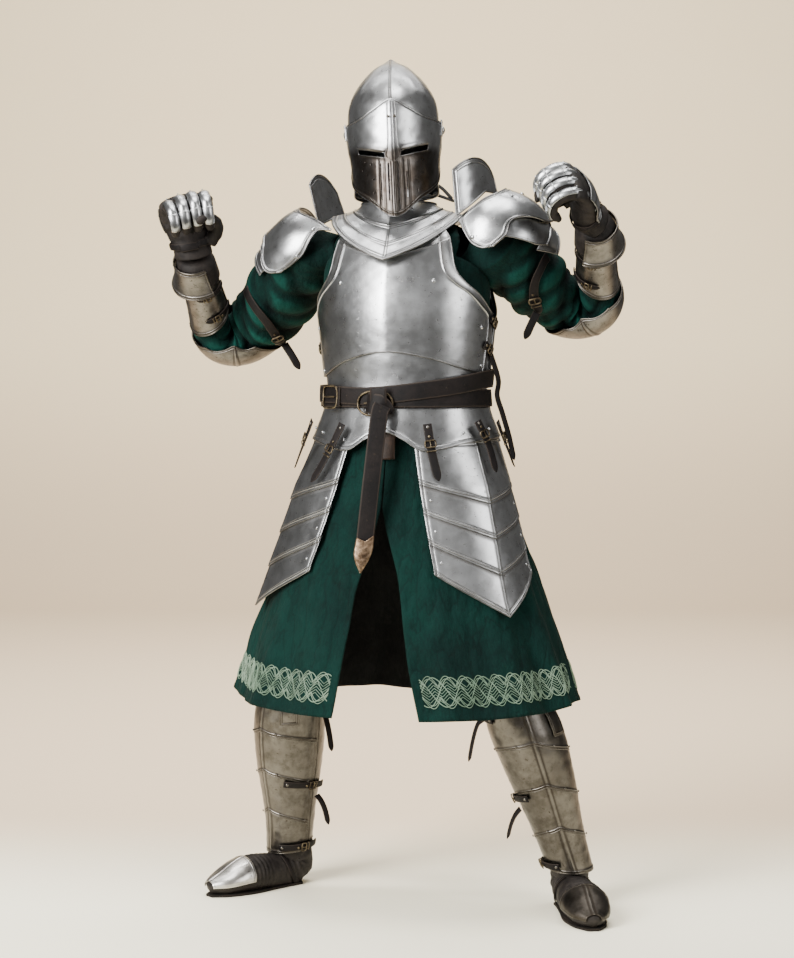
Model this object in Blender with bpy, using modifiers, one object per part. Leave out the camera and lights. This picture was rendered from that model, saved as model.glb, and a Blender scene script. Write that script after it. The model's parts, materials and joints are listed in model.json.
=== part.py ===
"""A suit of plate armour, worn over a split-skirted arming coat: one solid for each piece.

Metres, +Z up. -Y is the side that faces the viewer, and +X is the viewer's right. "Right" and
"left" in the names are the wearer's own. Heights in the tables are above the floor, and the rig
lowers everything so that the world's origin is between the wearer's shoulders.
"""

import math
from collections import namedtuple

import bmesh
import bpy
from mathutils import Matrix, Vector

# ---------------------------------------------------------------- driving dimensions
SHOULDER_HEIGHT = 1.44  # of the part's origin above the floor
TORSO_TURN = -18.0  # degrees: the chest is turned towards the wearer's right
GORGET_TURN = -11.0
HELM_TURN = -2.5
HELM_ROLL = -2.8
HELM_PLACE = Vector((-0.007, -0.010, 0.0))

CLOTH_WALL = 0.0022
LEATHER_WALL = 0.0030
PLATE_WALL = 0.0016

# How far each layer's outer face stands off the coat
BELLY_LIFT = 0.0095
BACK_LIFT = 0.0150
BREAST_LIFT = 0.0135
LOWER_BELT_LIFT = 0.0205
UPPER_BELT_LIFT = 0.0245
BELT_WIDTH = 0.040

PIVOT_HEIGHT = 1.644
PIVOT_BACK = 0.024  # behind the helm's own axis
PIVOT_HALF_SPAN = 0.1030
PIVOT_RADIUS = 0.0085
PIVOT_HEAD = 0.006
VISOR_LIFT = 0.0052

Layer = namedtuple("Layer", "height half_width front back")
COAT = [
    Layer(1.462, 0.078, 0.068, 0.080),
    Layer(1.446, 0.108, 0.074, 0.092),
    Layer(1.428, 0.144, 0.086, 0.104),
    Layer(1.400, 0.176, 0.101, 0.118),
    Layer(1.340, 0.181, 0.124, 0.126),
    Layer(1.270, 0.180, 0.137, 0.124),
    Layer(1.180, 0.171, 0.132, 0.114),
    Layer(1.090, 0.163, 0.122, 0.108),
    Layer(1.010, 0.176, 0.130, 0.124),
    Layer(0.930, 0.200, 0.148, 0.148),
    Layer(0.820, 0.240, 0.174, 0.178),
    Layer(0.690, 0.290, 0.204, 0.206),
    Layer(0.560, 0.337, 0.230, 0.226),
    Layer(0.425, 0.380, 0.252, 0.242),
]
COAT_CENTRE = Vector((0.020, 0.0, 0.0))
BREAST_RIDGE = 0.010

Ring = namedtuple("Ring", "height half_width half_depth back")
SKULL = [
    Ring(1.8000, 0.0030, 0.0035, 0.034),
    Ring(1.7930, 0.0135, 0.0170, 0.033),
    Ring(1.7810, 0.0355, 0.0430, 0.030),
    Ring(1.7585, 0.0585, 0.0690, 0.022),
    Ring(1.7375, 0.0745, 0.0880, 0.016),
    Ring(1.7140, 0.0875, 0.1030, 0.010),
    Ring(1.6900, 0.0945, 0.1110, 0.006),
    Ring(1.6550, 0.0965, 0.1150, 0.004),
    Ring(1.6160, 0.0950, 0.1150, 0.003),
    Ring(1.5770, 0.0890, 0.1130, 0.003),
    Ring(1.5400, 0.0890, 0.1140, 0.003),
    Ring(1.5000, 0.0900, 0.1160, 0.003),
    Ring(1.4500, 0.0890, 0.1180, 0.003),
]
HELM_RIDGE = 0.007

Place = namedtuple("Place", "shoulder elbow wrist slack")
ARMS = {
    "right": Place((-0.186, 0.052, 1.405), (-0.374, 0.212, 1.222), (-0.434, 0.030, 1.380), 0.022),
    "left": Place((0.196, -0.062, 1.408), (0.404, 0.085, 1.284), (0.409, -0.130, 1.440), 0.0),
}
ELBOW_ROUND = 0.043  # radius of the arm's centre line through the elbow

Part = namedtuple("Part", "along outer inner side")
SLEEVE = [
    Part(0.00, 0.068, 0.068, 0.068),
    Part(0.20, 0.082, 0.066, 0.070),
    Part(0.38, 0.078, 0.058, 0.068),
    Part(0.50, 0.055, 0.036, 0.061),
    Part(0.60, 0.047, 0.035, 0.055),
    Part(0.72, 0.039, 0.038, 0.043),
    Part(0.88, 0.034, 0.033, 0.036),
    Part(1.00, 0.031, 0.030, 0.033),
]


# ---------------------------------------------------------------- small tools
def smooth(table, key, column):
    """The column's value at the key, along a smooth curve through the table's rows."""
    rows = sorted(table, key=lambda row: row[0])
    keys = [row[0] for row in rows]
    values = [getattr(row, column) for row in rows]
    if key <= keys[0]:
        return values[0]
    if key >= keys[-1]:
        return values[-1]
    i = max(j for j in range(len(keys) - 1) if keys[j] <= key)

    def slope(j):
        low, high = max(j - 1, 0), min(j + 1, len(keys) - 1)
        return (values[high] - values[low]) / (keys[high] - keys[low])

    span = keys[i + 1] - keys[i]
    t = (key - keys[i]) / span
    return (
        (2 * t**3 - 3 * t**2 + 1) * values[i]
        + (t**3 - 2 * t**2 + t) * span * slope(i)
        + (3 * t**2 - 2 * t**3) * values[i + 1]
        + (t**3 - t**2) * span * slope(i + 1)
    )


def knots(*pairs):
    """A function that joins (key, value) pairs by straight lines."""

    def at(key):
        if key <= pairs[0][0]:
            return pairs[0][1]
        for (k0, v0), (k1, v1) in zip(pairs, pairs[1:]):
            if key <= k1:
                return v0 + (v1 - v0) * (key - k0) / (k1 - k0)
        return pairs[-1][1]

    return at


def mix(low, high, share):
    return low + (high - low) * share


def turned(vector, degrees, axis="Z"):
    return Matrix.Rotation(math.radians(degrees), 3, axis) @ vector


# ---------------------------------------------------------------- the forms that pieces lie on
class Form:
    """A smooth surface with an inside: at(u, v) is a point of it, and core(v) is a point within."""

    STEP_U = 0.5
    STEP_V = 0.002

    def lifted(self, u, v, lift):
        along_u = self.at(u + self.STEP_U, v) - self.at(u - self.STEP_U, v)
        along_v = self.at(u, v + self.STEP_V) - self.at(u, v - self.STEP_V)
        normal = along_u.cross(along_v).normalized()
        point = self.at(u, v)
        if normal.dot(point - self.core(v)) < 0:
            normal.negate()
        return point + lift * normal


class CoatForm(Form):
    """u is the angle round the body in degrees, 0 in front and growing to the wearer's left."""

    def __init__(self, ridge=0.0):
        self.ridge = ridge

    def core(self, height):
        return COAT_CENTRE + Vector((0, 0, height))

    def at(self, angle, height):
        sine, cosine = math.sin(math.radians(angle)), math.cos(math.radians(angle))
        side = smooth(COAT, height, "half_width") * sine
        if cosine > 0:
            ridge = self.ridge * max(0.0, 1 - abs(sine)) ** 2
            forward = smooth(COAT, height, "front") * cosine + ridge
        else:
            forward = smooth(COAT, height, "back") * cosine
        return self.core(height) + turned(Vector((side, -forward, 0)), TORSO_TURN)


class HelmForm(Form):
    """The skull's surface. The ridge down its middle runs on into the visor's keel."""

    def core(self, height):
        middle = Vector((0, smooth(SKULL, height, "back"), height - PIVOT_HEIGHT))
        return helm_to_world(middle)

    def at(self, angle, height):
        sine, cosine = math.sin(math.radians(angle)), math.cos(math.radians(angle))
        half_width = smooth(SKULL, height, "half_width")
        half_depth = smooth(SKULL, height, "half_depth")
        ridge = HELM_RIDGE * max(0.0, 1 - abs(sine)) ** 3 if cosine > 0 else 0.0
        ridge *= min(1.0, half_width / 0.06)
        depth = half_depth * cosine + ridge
        middle = smooth(SKULL, height, "back")
        return helm_to_world(Vector((half_width * sine, middle - depth, height - PIVOT_HEIGHT)))


def helm_to_world(local):
    """From the helm's own frame, at the height of its pivots, to the suit's."""
    tilted = turned(turned(local, HELM_ROLL, "Y"), HELM_TURN)
    return tilted + HELM_PLACE + Vector((0, 0, PIVOT_HEIGHT))


class LimbForm(Form):
    """A tube along a flat path. u is 0 on the path's outer side, v runs from 0 to 1 along it."""

    STEP_V = 0.01

    def __init__(self, path, normal, sections):
        self.path = path
        self.normal = normal.normalized()
        self.sections = sections
        self.lengths = [0.0]
        for a, b in zip(path, path[1:]):
            self.lengths.append(self.lengths[-1] + (b - a).length)
        self.length = self.lengths[-1]

    def place(self, v):
        distance = v * self.length
        i = max(j for j in range(len(self.path) - 1) if j == 0 or self.lengths[j] <= distance)
        a, b = self.path[i], self.path[i + 1]
        share = (distance - self.lengths[i]) / (self.lengths[i + 1] - self.lengths[i])
        return a + (b - a) * share

    def ahead(self, v):
        return (self.place(v + 0.015) - self.place(v - 0.015)).normalized()

    def core(self, v):
        return self.place(v)

    def at(self, angle, v):
        outward = self.ahead(v).cross(self.normal)
        sine, cosine = math.sin(math.radians(angle)), math.cos(math.radians(angle))
        reach = smooth(self.sections, v, "outer" if cosine > 0 else "inner")
        side = smooth(self.sections, v, "side")
        return self.place(v) + outward * (reach * cosine) + self.normal * (side * sine)


def bent_path(start, middle, end, radius):
    """A straight stretch, an arc whose middle is at the bend, and a straight stretch; and its normal."""
    corner = middle.copy()
    for _ in range(8):
        ahead, after = (corner - start).normalized(), (end - corner).normalized()
        half_turn = ahead.angle(after) / 2
        outward = (ahead - after).normalized()
        corner = middle + outward * (radius / math.cos(half_turn) - radius)
    normal = ahead.cross(after).normalized()
    run = radius * math.tan(half_turn)
    centre = corner - outward * (radius / math.cos(half_turn))
    first = corner - ahead * run - centre
    path = [start.lerp(centre + first, i / 4) for i in range(4)]
    path += [centre + Matrix.Rotation(2 * half_turn * i / 12, 3, normal) @ first for i in range(13)]
    path += [path[-1].lerp(end, i / 4) for i in range(1, 5)]
    return path, normal


def flowing_path(points, steps=5):
    """A smooth curve through a few points."""
    ends = [points[0] * 2 - points[1], *points, points[-1] * 2 - points[-2]]
    path = []
    for a, b, c, d in zip(ends, ends[1:], ends[2:], ends[3:]):
        for i in range(steps):
            t = i / steps
            bend = (2 * a - 5 * b + 4 * c - d) * t**2 + (3 * b - a - 3 * c + d) * t**3
            path.append(0.5 * (2 * b + (c - a) * t + bend))
    return path + [points[-1]]


# ---------------------------------------------------------------- materials and objects
def paint(name, colour, roughness, metallic=0.0):
    material = bpy.data.materials.new(name)
    material.use_nodes = True
    shader = material.node_tree.nodes["Principled BSDF"]
    shader.inputs["Base Color"].default_value = (*colour, 1.0)
    shader.inputs["Roughness"].default_value = roughness
    shader.inputs["Metallic"].default_value = metallic
    return material


for old in list(bpy.data.objects):
    bpy.data.objects.remove(old)

suit = bpy.data.collections.new("plate_armour_suit")
bpy.context.scene.collection.children.link(suit)
cutters = bpy.data.collections.new("cutters")
cutters.hide_render = True
bpy.context.scene.collection.children.link(cutters)

STEEL = paint("polished_steel", (0.50, 0.49, 0.47), 0.35, 1.0)
DULL_STEEL = paint("dull_steel", (0.38, 0.35, 0.31), 0.45, 1.0)
CLOTH = paint("green_cloth", (0.010, 0.085, 0.055), 0.9)
LINING = paint("black_lining", (0.008, 0.008, 0.008), 0.95)
LEATHER = paint("dark_leather", (0.028, 0.020, 0.016), 0.55)
BRASS = paint("aged_brass", (0.35, 0.24, 0.10), 0.4, 1.0)

rig = bpy.data.objects.new("between_the_shoulders", None)
rig.location = (0, 0, -SHOULDER_HEIGHT)
suit.objects.link(rig)

pivot_middle = helm_to_world(Vector((0, PIVOT_BACK, 0)))
visor_axis = bpy.data.objects.new("visor_axis", None)
visor_axis.parent = rig
visor_axis.location = pivot_middle
suit.objects.link(visor_axis)


def add_object(name, mesh, material, parent=None, lining=None):
    """Links a mesh made in heights above the floor, so that it keeps its place under its parent."""
    parent = parent or rig
    if parent is visor_axis:
        mesh.transform(Matrix.Translation(-pivot_middle))
    mesh.materials.append(material)
    if lining:
        mesh.materials.append(lining)
    mesh.shade_smooth()
    obj = bpy.data.objects.new(name, mesh)
    obj.parent = parent
    suit.objects.link(obj)
    return obj


def faces_out(mesh, points, core):
    """True if the faces' normals point away from the core, on the whole."""
    mesh.update()
    return sum(face.normal.dot(face.center - core(face.vertices[0])) * face.area for face in mesh.polygons) > 0


def sheet(name, rows, cores, wall, material, closed=False, pole=None, parent=None, lining=None):
    """A wall on rows of points: the points are its outer face, and the wall is behind them."""
    columns = len(rows[0])
    points = [point for row in rows for point in row]
    faces = []
    for i in range(len(rows) - 1):
        for j in range(columns if closed else columns - 1):
            k = (j + 1) % columns
            faces.append((i * columns + j, (i + 1) * columns + j, (i + 1) * columns + k, i * columns + k))
    if pole is not None:
        row, point = pole
        start = (len(rows) - 1) * columns if row == "last" else 0
        points.append(point)
        for j in range(columns):
            k = (j + 1) % columns
            ring = (start + j, len(points) - 1, start + k)
            faces.append(ring if row == "last" else ring[::-1])
    mesh = bpy.data.meshes.new(name)
    mesh.from_pydata(points, [], faces)
    core_of = lambda vertex: cores[min(vertex // columns, len(cores) - 1)]
    if not faces_out(mesh, points, core_of):
        mesh.flip_normals()
    obj = add_object(name, mesh, material, parent, lining)
    shell = obj.modifiers.new("wall", "SOLIDIFY")
    shell.thickness = wall
    shell.offset = -1.0
    if lining:
        shell.material_offset = 1
    return obj


def plate(name, form, left, right, top, bottom, cells, lift, wall, material, parent=None, closed=False, lining=None):
    """A piece on a form. left and right give the side edges' u from 0 at its top to 1 at its bottom;
    top and bottom give its upper and lower edges' v from 0 at its left to 1 at its right."""
    across, down = cells
    rows, cores = [], []
    for i in range(down + 1):
        t = i / down
        row = []
        for j in range(across if closed else across + 1):
            k = j / across
            u = mix(left(t), right(t), k)
            v = mix(top(k), bottom(k), t)
            row.append(form.lifted(u, v, lift(k, t)))
        rows.append(row)
        cores.append(form.core(mix(top(0.5), bottom(0.5), t)))
    return sheet(name, rows, cores, wall, material, closed, None, parent, lining)


def flat(value):
    return lambda *_: value


# ---------------------------------------------------------------- the arming coat
coat_form = CoatForm()
HEM = 0.448  # at the sides; it dips in front and behind
HEM_DIP = 0.022
SEAM = 0.4  # degrees between two panels
slit_right = knots((0.445, -12.5), (0.56, -10.5), (0.72, -7.4), (0.84, -1.2), (0.86, -SEAM), (1.48, -SEAM))
slit_left = knots((0.445, 16.0), (0.56, 12.5), (0.72, 8.7), (0.84, 1.2), (0.86, SEAM), (1.48, SEAM))
COAT_ROWS = (1.462, 1.446, 1.428, 1.39, 1.33, 1.26, 1.17, 1.085, 1.01, 0.93, 0.85, 0.74, 0.64, 0.54, HEM)
FOLD_DEPTH = 0.011


def fold(angle, height):
    """The skirt's soft folds: deepest at the hem and none above the hips."""
    share = max(0.0, min(1.0, (0.95 - height) / 0.45))
    return FOLD_DEPTH * share * math.cos(math.radians(angle * 9 + 40 * math.sin(math.radians(2 * angle))))


def coat_panel(name, left, right, across, lining=LINING):
    rows, cores = [], []
    for height in COAT_ROWS:
        angles = [mix(left(height), right(height), j / across) for j in range(across + 1)]
        share = max(0.0, (0.64 - height) / (0.64 - HEM))
        dips = [height - share * HEM_DIP * abs(math.cos(math.radians(angle))) for angle in angles]
        rows.append([coat_form.lifted(angle, low, fold(angle, low)) for angle, low in zip(angles, dips)])
        cores.append(coat_form.core(height))
    return sheet(name, rows, cores, CLOTH_WALL, CLOTH, lining=lining)


coat_panels = [
    coat_panel("coat_front_right", flat(-92.0), slit_right, 7),
    coat_panel("coat_front_left", slit_left, flat(92.0), 7),
    coat_panel("coat_back_left", flat(92.0 + SEAM), flat(180.0 - SEAM), 6),
    coat_panel("coat_back_right", flat(180.0), flat(268.0 - SEAM), 6),
]


# ---------------------------------------------------------------- the sleeves
def arm_form(side):
    place = ARMS[side]
    shoulder, elbow, wrist = Vector(place.shoulder), Vector(place.elbow), Vector(place.wrist)
    path, normal = bent_path(shoulder, elbow, wrist, ELBOW_ROUND)
    # Slack cloth hangs under the upper arm
    bulge = knots((0.0, 0.0), (0.20, 0.6), (0.38, 1.0), (0.50, 0.0))
    sections = [part._replace(outer=part.outer + place.slack * bulge(part.along)) for part in SLEEVE]
    return LimbForm(path, normal, sections)


arm_forms = {side: arm_form(side) for side in ARMS}
SLEEVE_ROWS = (0.0, 0.14, 0.30, 0.41, 0.47, 0.53, 0.59, 0.66, 0.78, 0.93)
SLEEVE_SIDES = 10


def sleeve(side):
    form = arm_forms[side]
    rows = [[form.at(360 * j / SLEEVE_SIDES, v) for j in range(SLEEVE_SIDES)] for v in SLEEVE_ROWS]
    sheet(f"sleeve_{side}", rows, [form.core(v) for v in SLEEVE_ROWS], CLOTH_WALL, CLOTH, closed=True)


def armhole_cutter(side):
    """A closed plug a little wider than the sleeve's head, which opens the coat's armhole."""
    form = arm_forms[side]
    inward = -form.ahead(0.1)
    rings = [[form.lifted(360 * j / 12, v, 0.0030) for j in range(12)] for v in (0.02, 0.16, 0.3)]
    rings.insert(0, [point + inward * 0.075 for point in rings[0]])
    points = [point for ring in rings for point in ring]
    faces = [tuple(range(12)), tuple(range(47, 35, -1))]
    for i in range(3):
        for j in range(12):
            k = (j + 1) % 12
            faces.append((i * 12 + j, (i + 1) * 12 + j, (i + 1) * 12 + k, i * 12 + k))
    mesh = bpy.data.meshes.new(f"armhole_{side}")
    mesh.from_pydata(points, [], faces)
    mesh.update()
    centre = sum(points, Vector()) / len(points)
    side_faces = mesh.polygons[2:]
    if sum(face.normal.dot(face.center - centre) for face in side_faces) < 0:
        mesh.flip_normals()
    cutter = bpy.data.objects.new(f"armhole_{side}", mesh)
    cutter.parent = rig
    cutter.hide_render = True
    cutter.display_type = "WIRE"
    cutters.objects.link(cutter)
    return cutter


def cut(obj, cutter):
    boolean = obj.modifiers.new(cutter.name, "BOOLEAN")
    boolean.operation = "DIFFERENCE"
    boolean.object = cutter


for side in ARMS:
    sleeve(side)
    armhole = armhole_cutter(side)
    for panel in coat_panels:
        if panel.name.endswith(side):
            cut(panel, armhole)


# ---------------------------------------------------------------- the cuirass
breast_form = CoatForm(ridge=BREAST_RIDGE)


def breastplate():
    form = breast_form
    across, heights = 12, (1.422, 1.385, 1.340, 1.312, 1.280, 1.250, 1.175)
    edge = knots(
        (1.250, 88.0), (1.272, 78.0), (1.300, 65.0), (1.315, 56.0), (1.340, 47.0), (1.385, 42.5), (1.430, 42.5)
    )
    hem = knots((-88, 1.128), (-60, 1.134), (-30, 1.162), (0, 1.178), (30, 1.165), (60, 1.142), (88, 1.134))
    rows, cores = [], []
    for height in (*heights, None):
        limit = edge(height) if height else 88.0
        row = []
        for j in range(across + 1):
            angle = mix(-limit, limit, j / across)
            low = height - max(0.0, 1 - abs(angle) / 45) * 0.042 if height == heights[0] else height
            row.append(form.lifted(angle, low or hem(angle), BREAST_LIFT))
        rows.append(row)
        cores.append(form.core(height or 1.15))
    # The row above the arched hem follows it half way
    last = heights[-1]
    rows[-2] = [
        form.lifted(mix(-88, 88, j / across), mix(last, hem(mix(-88, 88, j / across)), 0.25), BREAST_LIFT)
        for j in range(across + 1)
    ]
    sheet("breastplate", rows, cores, PLATE_WALL, STEEL)


breastplate()

fauld_hem = knots(
    (0.0, 0.995), (0.22, 0.984), (0.38, 0.968), (0.44, 0.992), (0.5, 1.008),
    (0.56, 0.992), (0.62, 0.968), (0.78, 0.984), (1.0, 0.995),
)
plate(
    "belly_plate", coat_form, flat(-98.0), flat(98.0), flat(1.205), fauld_hem, (16, 5),
    lambda k, t: BELLY_LIFT + 0.015 * max(0.0, t - 0.55) / 0.45, PLATE_WALL, STEEL,
)


def backplate():
    edge = knots((1.10, 88.0), (1.240, 86.0), (1.29, 66.0), (1.36, 48.0), (1.44, 43.0))
    rows, cores = [], []
    for height in (1.415, 1.36, 1.305, 1.25, 1.19, 1.13):
        limit = edge(height)
        angles = [180 + mix(-limit, limit, j / 10) for j in range(11)]
        rows.append([coat_form.lifted(angle, height, BACK_LIFT) for angle in angles])
        cores.append(coat_form.core(height))
    sheet("backplate", rows, cores, PLATE_WALL, STEEL)


backplate()
plate(
    "culet", coat_form, flat(104.0), flat(256.0), flat(1.122), flat(0.985), (10, 3),
    lambda k, t: BELLY_LIFT + 0.012 * t, PLATE_WALL, STEEL,
)


# ---------------------------------------------------------------- the gorget
class GorgetForm(Form):
    """A collar that spreads over the chest: v is 0 at the neck and 1 at its pointed outer edge."""

    NECK = 1.492
    STEP_V = 0.02

    def core(self, v):
        return COAT_CENTRE + Vector((-0.016, 0.004, mix(self.NECK, 1.40, v)))

    def at(self, angle, v):
        sine, cosine = math.sin(math.radians(angle)), math.cos(math.radians(angle))
        front = max(0.0, cosine)
        point_drop = 0.030 * max(0.0, 1 - abs(sine)) ** 1.5 if cosine > 0 else 0.0
        edge_height = 1.468 - 0.072 * front**1.3 - point_drop - 0.022 * max(0.0, -cosine)
        spread = max(v, 0.0) ** 1.7
        half_width = mix(0.080, 0.141, spread)
        depth = mix(0.082, 0.155, spread)
        ridge = 0.010 * max(0.0, 1 - abs(sine)) ** 2 if cosine > 0 else 0.0
        flat_place = turned(Vector((half_width * sine, -depth * cosine - ridge, 0)), GORGET_TURN)
        middle = COAT_CENTRE + Vector((-0.016, 0.004, 0))
        return middle + flat_place + Vector((0, 0, mix(self.NECK, edge_height, v)))


gorget_form = GorgetForm()
plate(
    "gorget_front", gorget_form, flat(-89.0), flat(89.0), flat(0.0), flat(1.0), (12, 5), flat(0.0),
    PLATE_WALL, STEEL,
)
plate(
    "gorget_back", gorget_form, flat(91.0), flat(269.0), flat(0.0), flat(1.0), (8, 4), flat(0.0),
    PLATE_WALL, STEEL,
)


# ---------------------------------------------------------------- the helm
helm_form = HelmForm()


def helm_skull():
    """A dome with a face opening, closed at its point."""
    across = 20
    rise = knots(
        (0, 1.684), (15, 1.668), (30, 1.648), (45, 1.630), (60, 1.590), (75, 1.530), (90, 1.510), (180, 1.504)
    )
    crown = (1.793, 1.781, 1.7585, 1.732, 1.702)
    rows = [[helm_form.at(360 * j / across, height) for j in range(across)] for height in crown]
    for share in (0.33, 0.66, 1.0):
        row = []
        for j in range(across):
            angle = 360 * j / across
            off_front = min(angle, 360 - angle)
            height = mix(crown[-1], rise(off_front), share)
            row.append(helm_form.at(angle, height - 0.0005 * share))
        rows.append(row)
    cores = [helm_form.core(h) for h in (*crown, 1.65, 1.60, 1.55)]
    tip = helm_form.at(0, 1.80).lerp(helm_form.at(180, 1.80), 0.5)
    sheet("helm_skull", rows, cores, PLATE_WALL, STEEL, closed=True, pole=("first", tip))


helm_skull()
brow = knots(
    (0.0, 1.660), (0.14, 1.657), (0.30, 1.664), (0.5, 1.697), (0.70, 1.664), (0.86, 1.657), (1.0, 1.660)
)
chin = knots(
    (0.0, 1.560), (0.12, 1.528), (0.32, 1.492), (0.5, 1.455), (0.68, 1.492), (0.88, 1.528), (1.0, 1.560)
)
ear = knots((0.0, 105.0), (0.34, 104.0), (0.5, 97.0), (1.0, 96.0))
plate(
    "helm_visor", helm_form, lambda t: -ear(t), ear, brow, chin, (16, 6),
    flat(VISOR_LIFT), PLATE_WALL, STEEL, parent=visor_axis,
)


def button(name, base, axis, radius, height, material):
    """A low cone that stands on its base along the axis."""
    shape = bmesh.new()
    bmesh.ops.create_cone(
        shape, cap_ends=True, segments=10, radius1=radius, radius2=radius * 0.5, depth=height,
        matrix=Matrix.Translation((0, 0, height / 2)),
    )
    mesh = bpy.data.meshes.new(name)
    shape.to_mesh(mesh)
    shape.free()
    mesh.transform(Matrix.Translation(base) @ axis.to_track_quat("Z", "Y").to_matrix().to_4x4())
    return add_object(name, mesh, material)


helm_across = (helm_to_world(Vector((1, 0, 0))) - helm_to_world(Vector((0, 0, 0)))).normalized()
for side, sign in (("right", -1), ("left", 1)):
    outward = helm_across * sign
    head = pivot_middle + outward * PIVOT_HALF_SPAN
    button(f"visor_pivot_{side}", head, outward, PIVOT_RADIUS, PIVOT_HEAD, STEEL)


# ---------------------------------------------------------------- the tassets
Tasset = namedtuple("Tasset", "side inner_top inner_end ridge outer_top outer_end")
TASSETS = [
    Tasset("right", -24.0, -33.0, -70.0, -100.0, -98.0),
    Tasset("left", 19.0, 25.0, 54.0, 99.0, 80.0),
]
LAME_INNER = (0.985, 0.900, 0.842, 0.780, 0.720)  # heights of the lames' lower corners, top edge first
LAME_RIDGE = (0.990, 0.856, 0.785, 0.713, 0.630)
LAME_OUTER = (0.995, 0.890, 0.828, 0.762, 0.716)
LAME_OVERLAP = 0.014


def tasset(row):
    share = abs(row.ridge - row.inner_end) / abs(row.outer_end - row.inner_end)

    def inner(height):
        return mix(row.inner_top, row.inner_end, min(1.0, (0.985 - height) / 0.25))

    def outer(height):
        return mix(row.outer_top, row.outer_end, max(0.0, min(1.0, (0.985 - height) / 0.25)))

    across, down = 8, 2
    for lame in range(4):
        top = knots((0, LAME_INNER[lame]), (share, LAME_RIDGE[lame]), (1, LAME_OUTER[lame]))
        end = knots((0, LAME_INNER[lame + 1]), (share, LAME_RIDGE[lame + 1]), (1, LAME_OUTER[lame + 1]))
        overlap = 0.0 if lame == 0 else LAME_OVERLAP
        rows, cores = [], []
        for i in range(down + 1):
            points = []
            for j in range(across + 1):
                # The ridge falls on a column of points
                k = share * j / 5 if j <= 5 else mix(share, 1, (j - 5) / 3)
                height = mix(top(k) + overlap, end(k), i / down)
                angle = mix(inner(height), outer(height), k)
                ridge = 0.012 * max(0.0, 1 - abs(k - share) / 0.45)
                lift = 0.0190 - 0.0026 * lame + ridge * min(1.0, (0.99 - height) / 0.1)
                points.append(coat_form.lifted(angle, height, lift))
            rows.append(points)
            cores.append(coat_form.core(height))
        sheet(f"tasset_{row.side}_{lame + 1}", rows, cores, PLATE_WALL, STEEL)


for row in TASSETS:
    tasset(row)


# ---------------------------------------------------------------- shoulders and arms
Shoulder = namedtuple("Shoulder", "side neck point")
SHOULDERS = [
    Shoulder("right", (-0.115, 0.040, 1.440), (-0.196, 0.068, 1.414)),
    Shoulder("left", (0.135, -0.040, 1.446), (0.222, -0.074, 1.428)),
]
SPAULDER = [
    Part(0.0, 0.044, 0.05, 0.066),
    Part(0.3, 0.056, 0.05, 0.076),
    Part(0.6, 0.064, 0.05, 0.078),
    Part(1.0, 0.062, 0.05, 0.072),
]
# u of a cup's front edge, from its neck down
CUP_FRONT = {
    "right": knots((0.0, 54.0), (0.2, 48.0), (0.32, 56.0), (0.6, 82.0), (1.0, 78.0)),
    "left": knots((0.0, 16.0), (0.5, 45.0), (0.8, 55.0), (1.0, 48.0)),
}
# v of a cup's edges, from its front corner to its rear one
CUP_NECK = {
    "right": knots((0.0, 0.02), (0.2, 0.15), (0.4, 0.31), (1.0, 0.33)),
    "left": knots((0.0, 0.10), (0.3, 0.25), (0.6, 0.32), (1.0, 0.32)),
}
ShoulderLame = namedtuple("ShoulderLame", "top end first last")  # v of its edges, and u down its front
SHOULDER_LAMES = {
    "right": (ShoulderLame(0.48, 0.66, 46.0, 46.0), ShoulderLame(0.60, 0.78, 50.0, 50.0)),
    "left": (ShoulderLame(0.34, 0.66, 34.0, 0.0), ShoulderLame(0.58, 0.83, 18.0, -3.0)),
}
CUP_END = {
    "right": knots((0.0, 0.56), (0.1, 0.66), (0.2, 0.66), (0.36, 0.58), (0.6, 0.60), (0.8, 0.66), (1.0, 0.58)),
    "left": knots((0.0, 0.37), (0.16, 0.40), (0.31, 0.40), (0.4, 0.42), (0.5, 0.48), (0.7, 0.66), (1.0, 0.62)),
}


def shoulder_form(row):
    elbow = Vector(ARMS[row.side].elbow)
    point = Vector(row.point)
    path, normal = bent_path(Vector(row.neck), point, point.lerp(elbow, 0.5), 0.05)
    return LimbForm(path, normal, SPAULDER)


for row in SHOULDERS:
    form = shoulder_form(row)
    # u grows towards the chest on one shoulder and away from it on the other
    fore = 1 if form.at(90, 0.4).y < form.at(-90, 0.4).y else -1
    front = CUP_FRONT[row.side]
    plate(
        f"spaulder_{row.side}", form, lambda t: fore * front(t), flat(-84.0 * fore), CUP_NECK[row.side],
        CUP_END[row.side], (10, 4), flat(0.0140), PLATE_WALL, STEEL,
    )
    for number, lame in enumerate(SHOULDER_LAMES[row.side], 1):
        plate(
            f"shoulder_lame_{row.side}_{number}", form, lambda t: fore * mix(lame.first, lame.last, t),
            flat(-80.0 * fore), flat(lame.top), flat(lame.end), (8, 2), flat(0.0105 - 0.0042 * number),
            PLATE_WALL, STEEL,
        )
couter_wing = knots((0.0, 88.0), (0.4, 116.0), (0.75, 108.0), (1.0, 62.0))
for side, form in arm_forms.items():
    plate(
        f"couter_{side}", form, lambda t: -couter_wing(t), couter_wing, flat(0.440), flat(0.625), (10, 5),
        lambda k, t: 0.009 + 0.008 * math.sin(math.pi * t), PLATE_WALL, DULL_STEEL,
    )
    plate(
        f"vambrace_{side}", form, flat(-172.0), flat(172.0), knots((0, 0.72), (0.5, 0.655), (1, 0.72)),
        flat(0.925), (12, 3), flat(0.006), PLATE_WALL, DULL_STEEL,
    )

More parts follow.
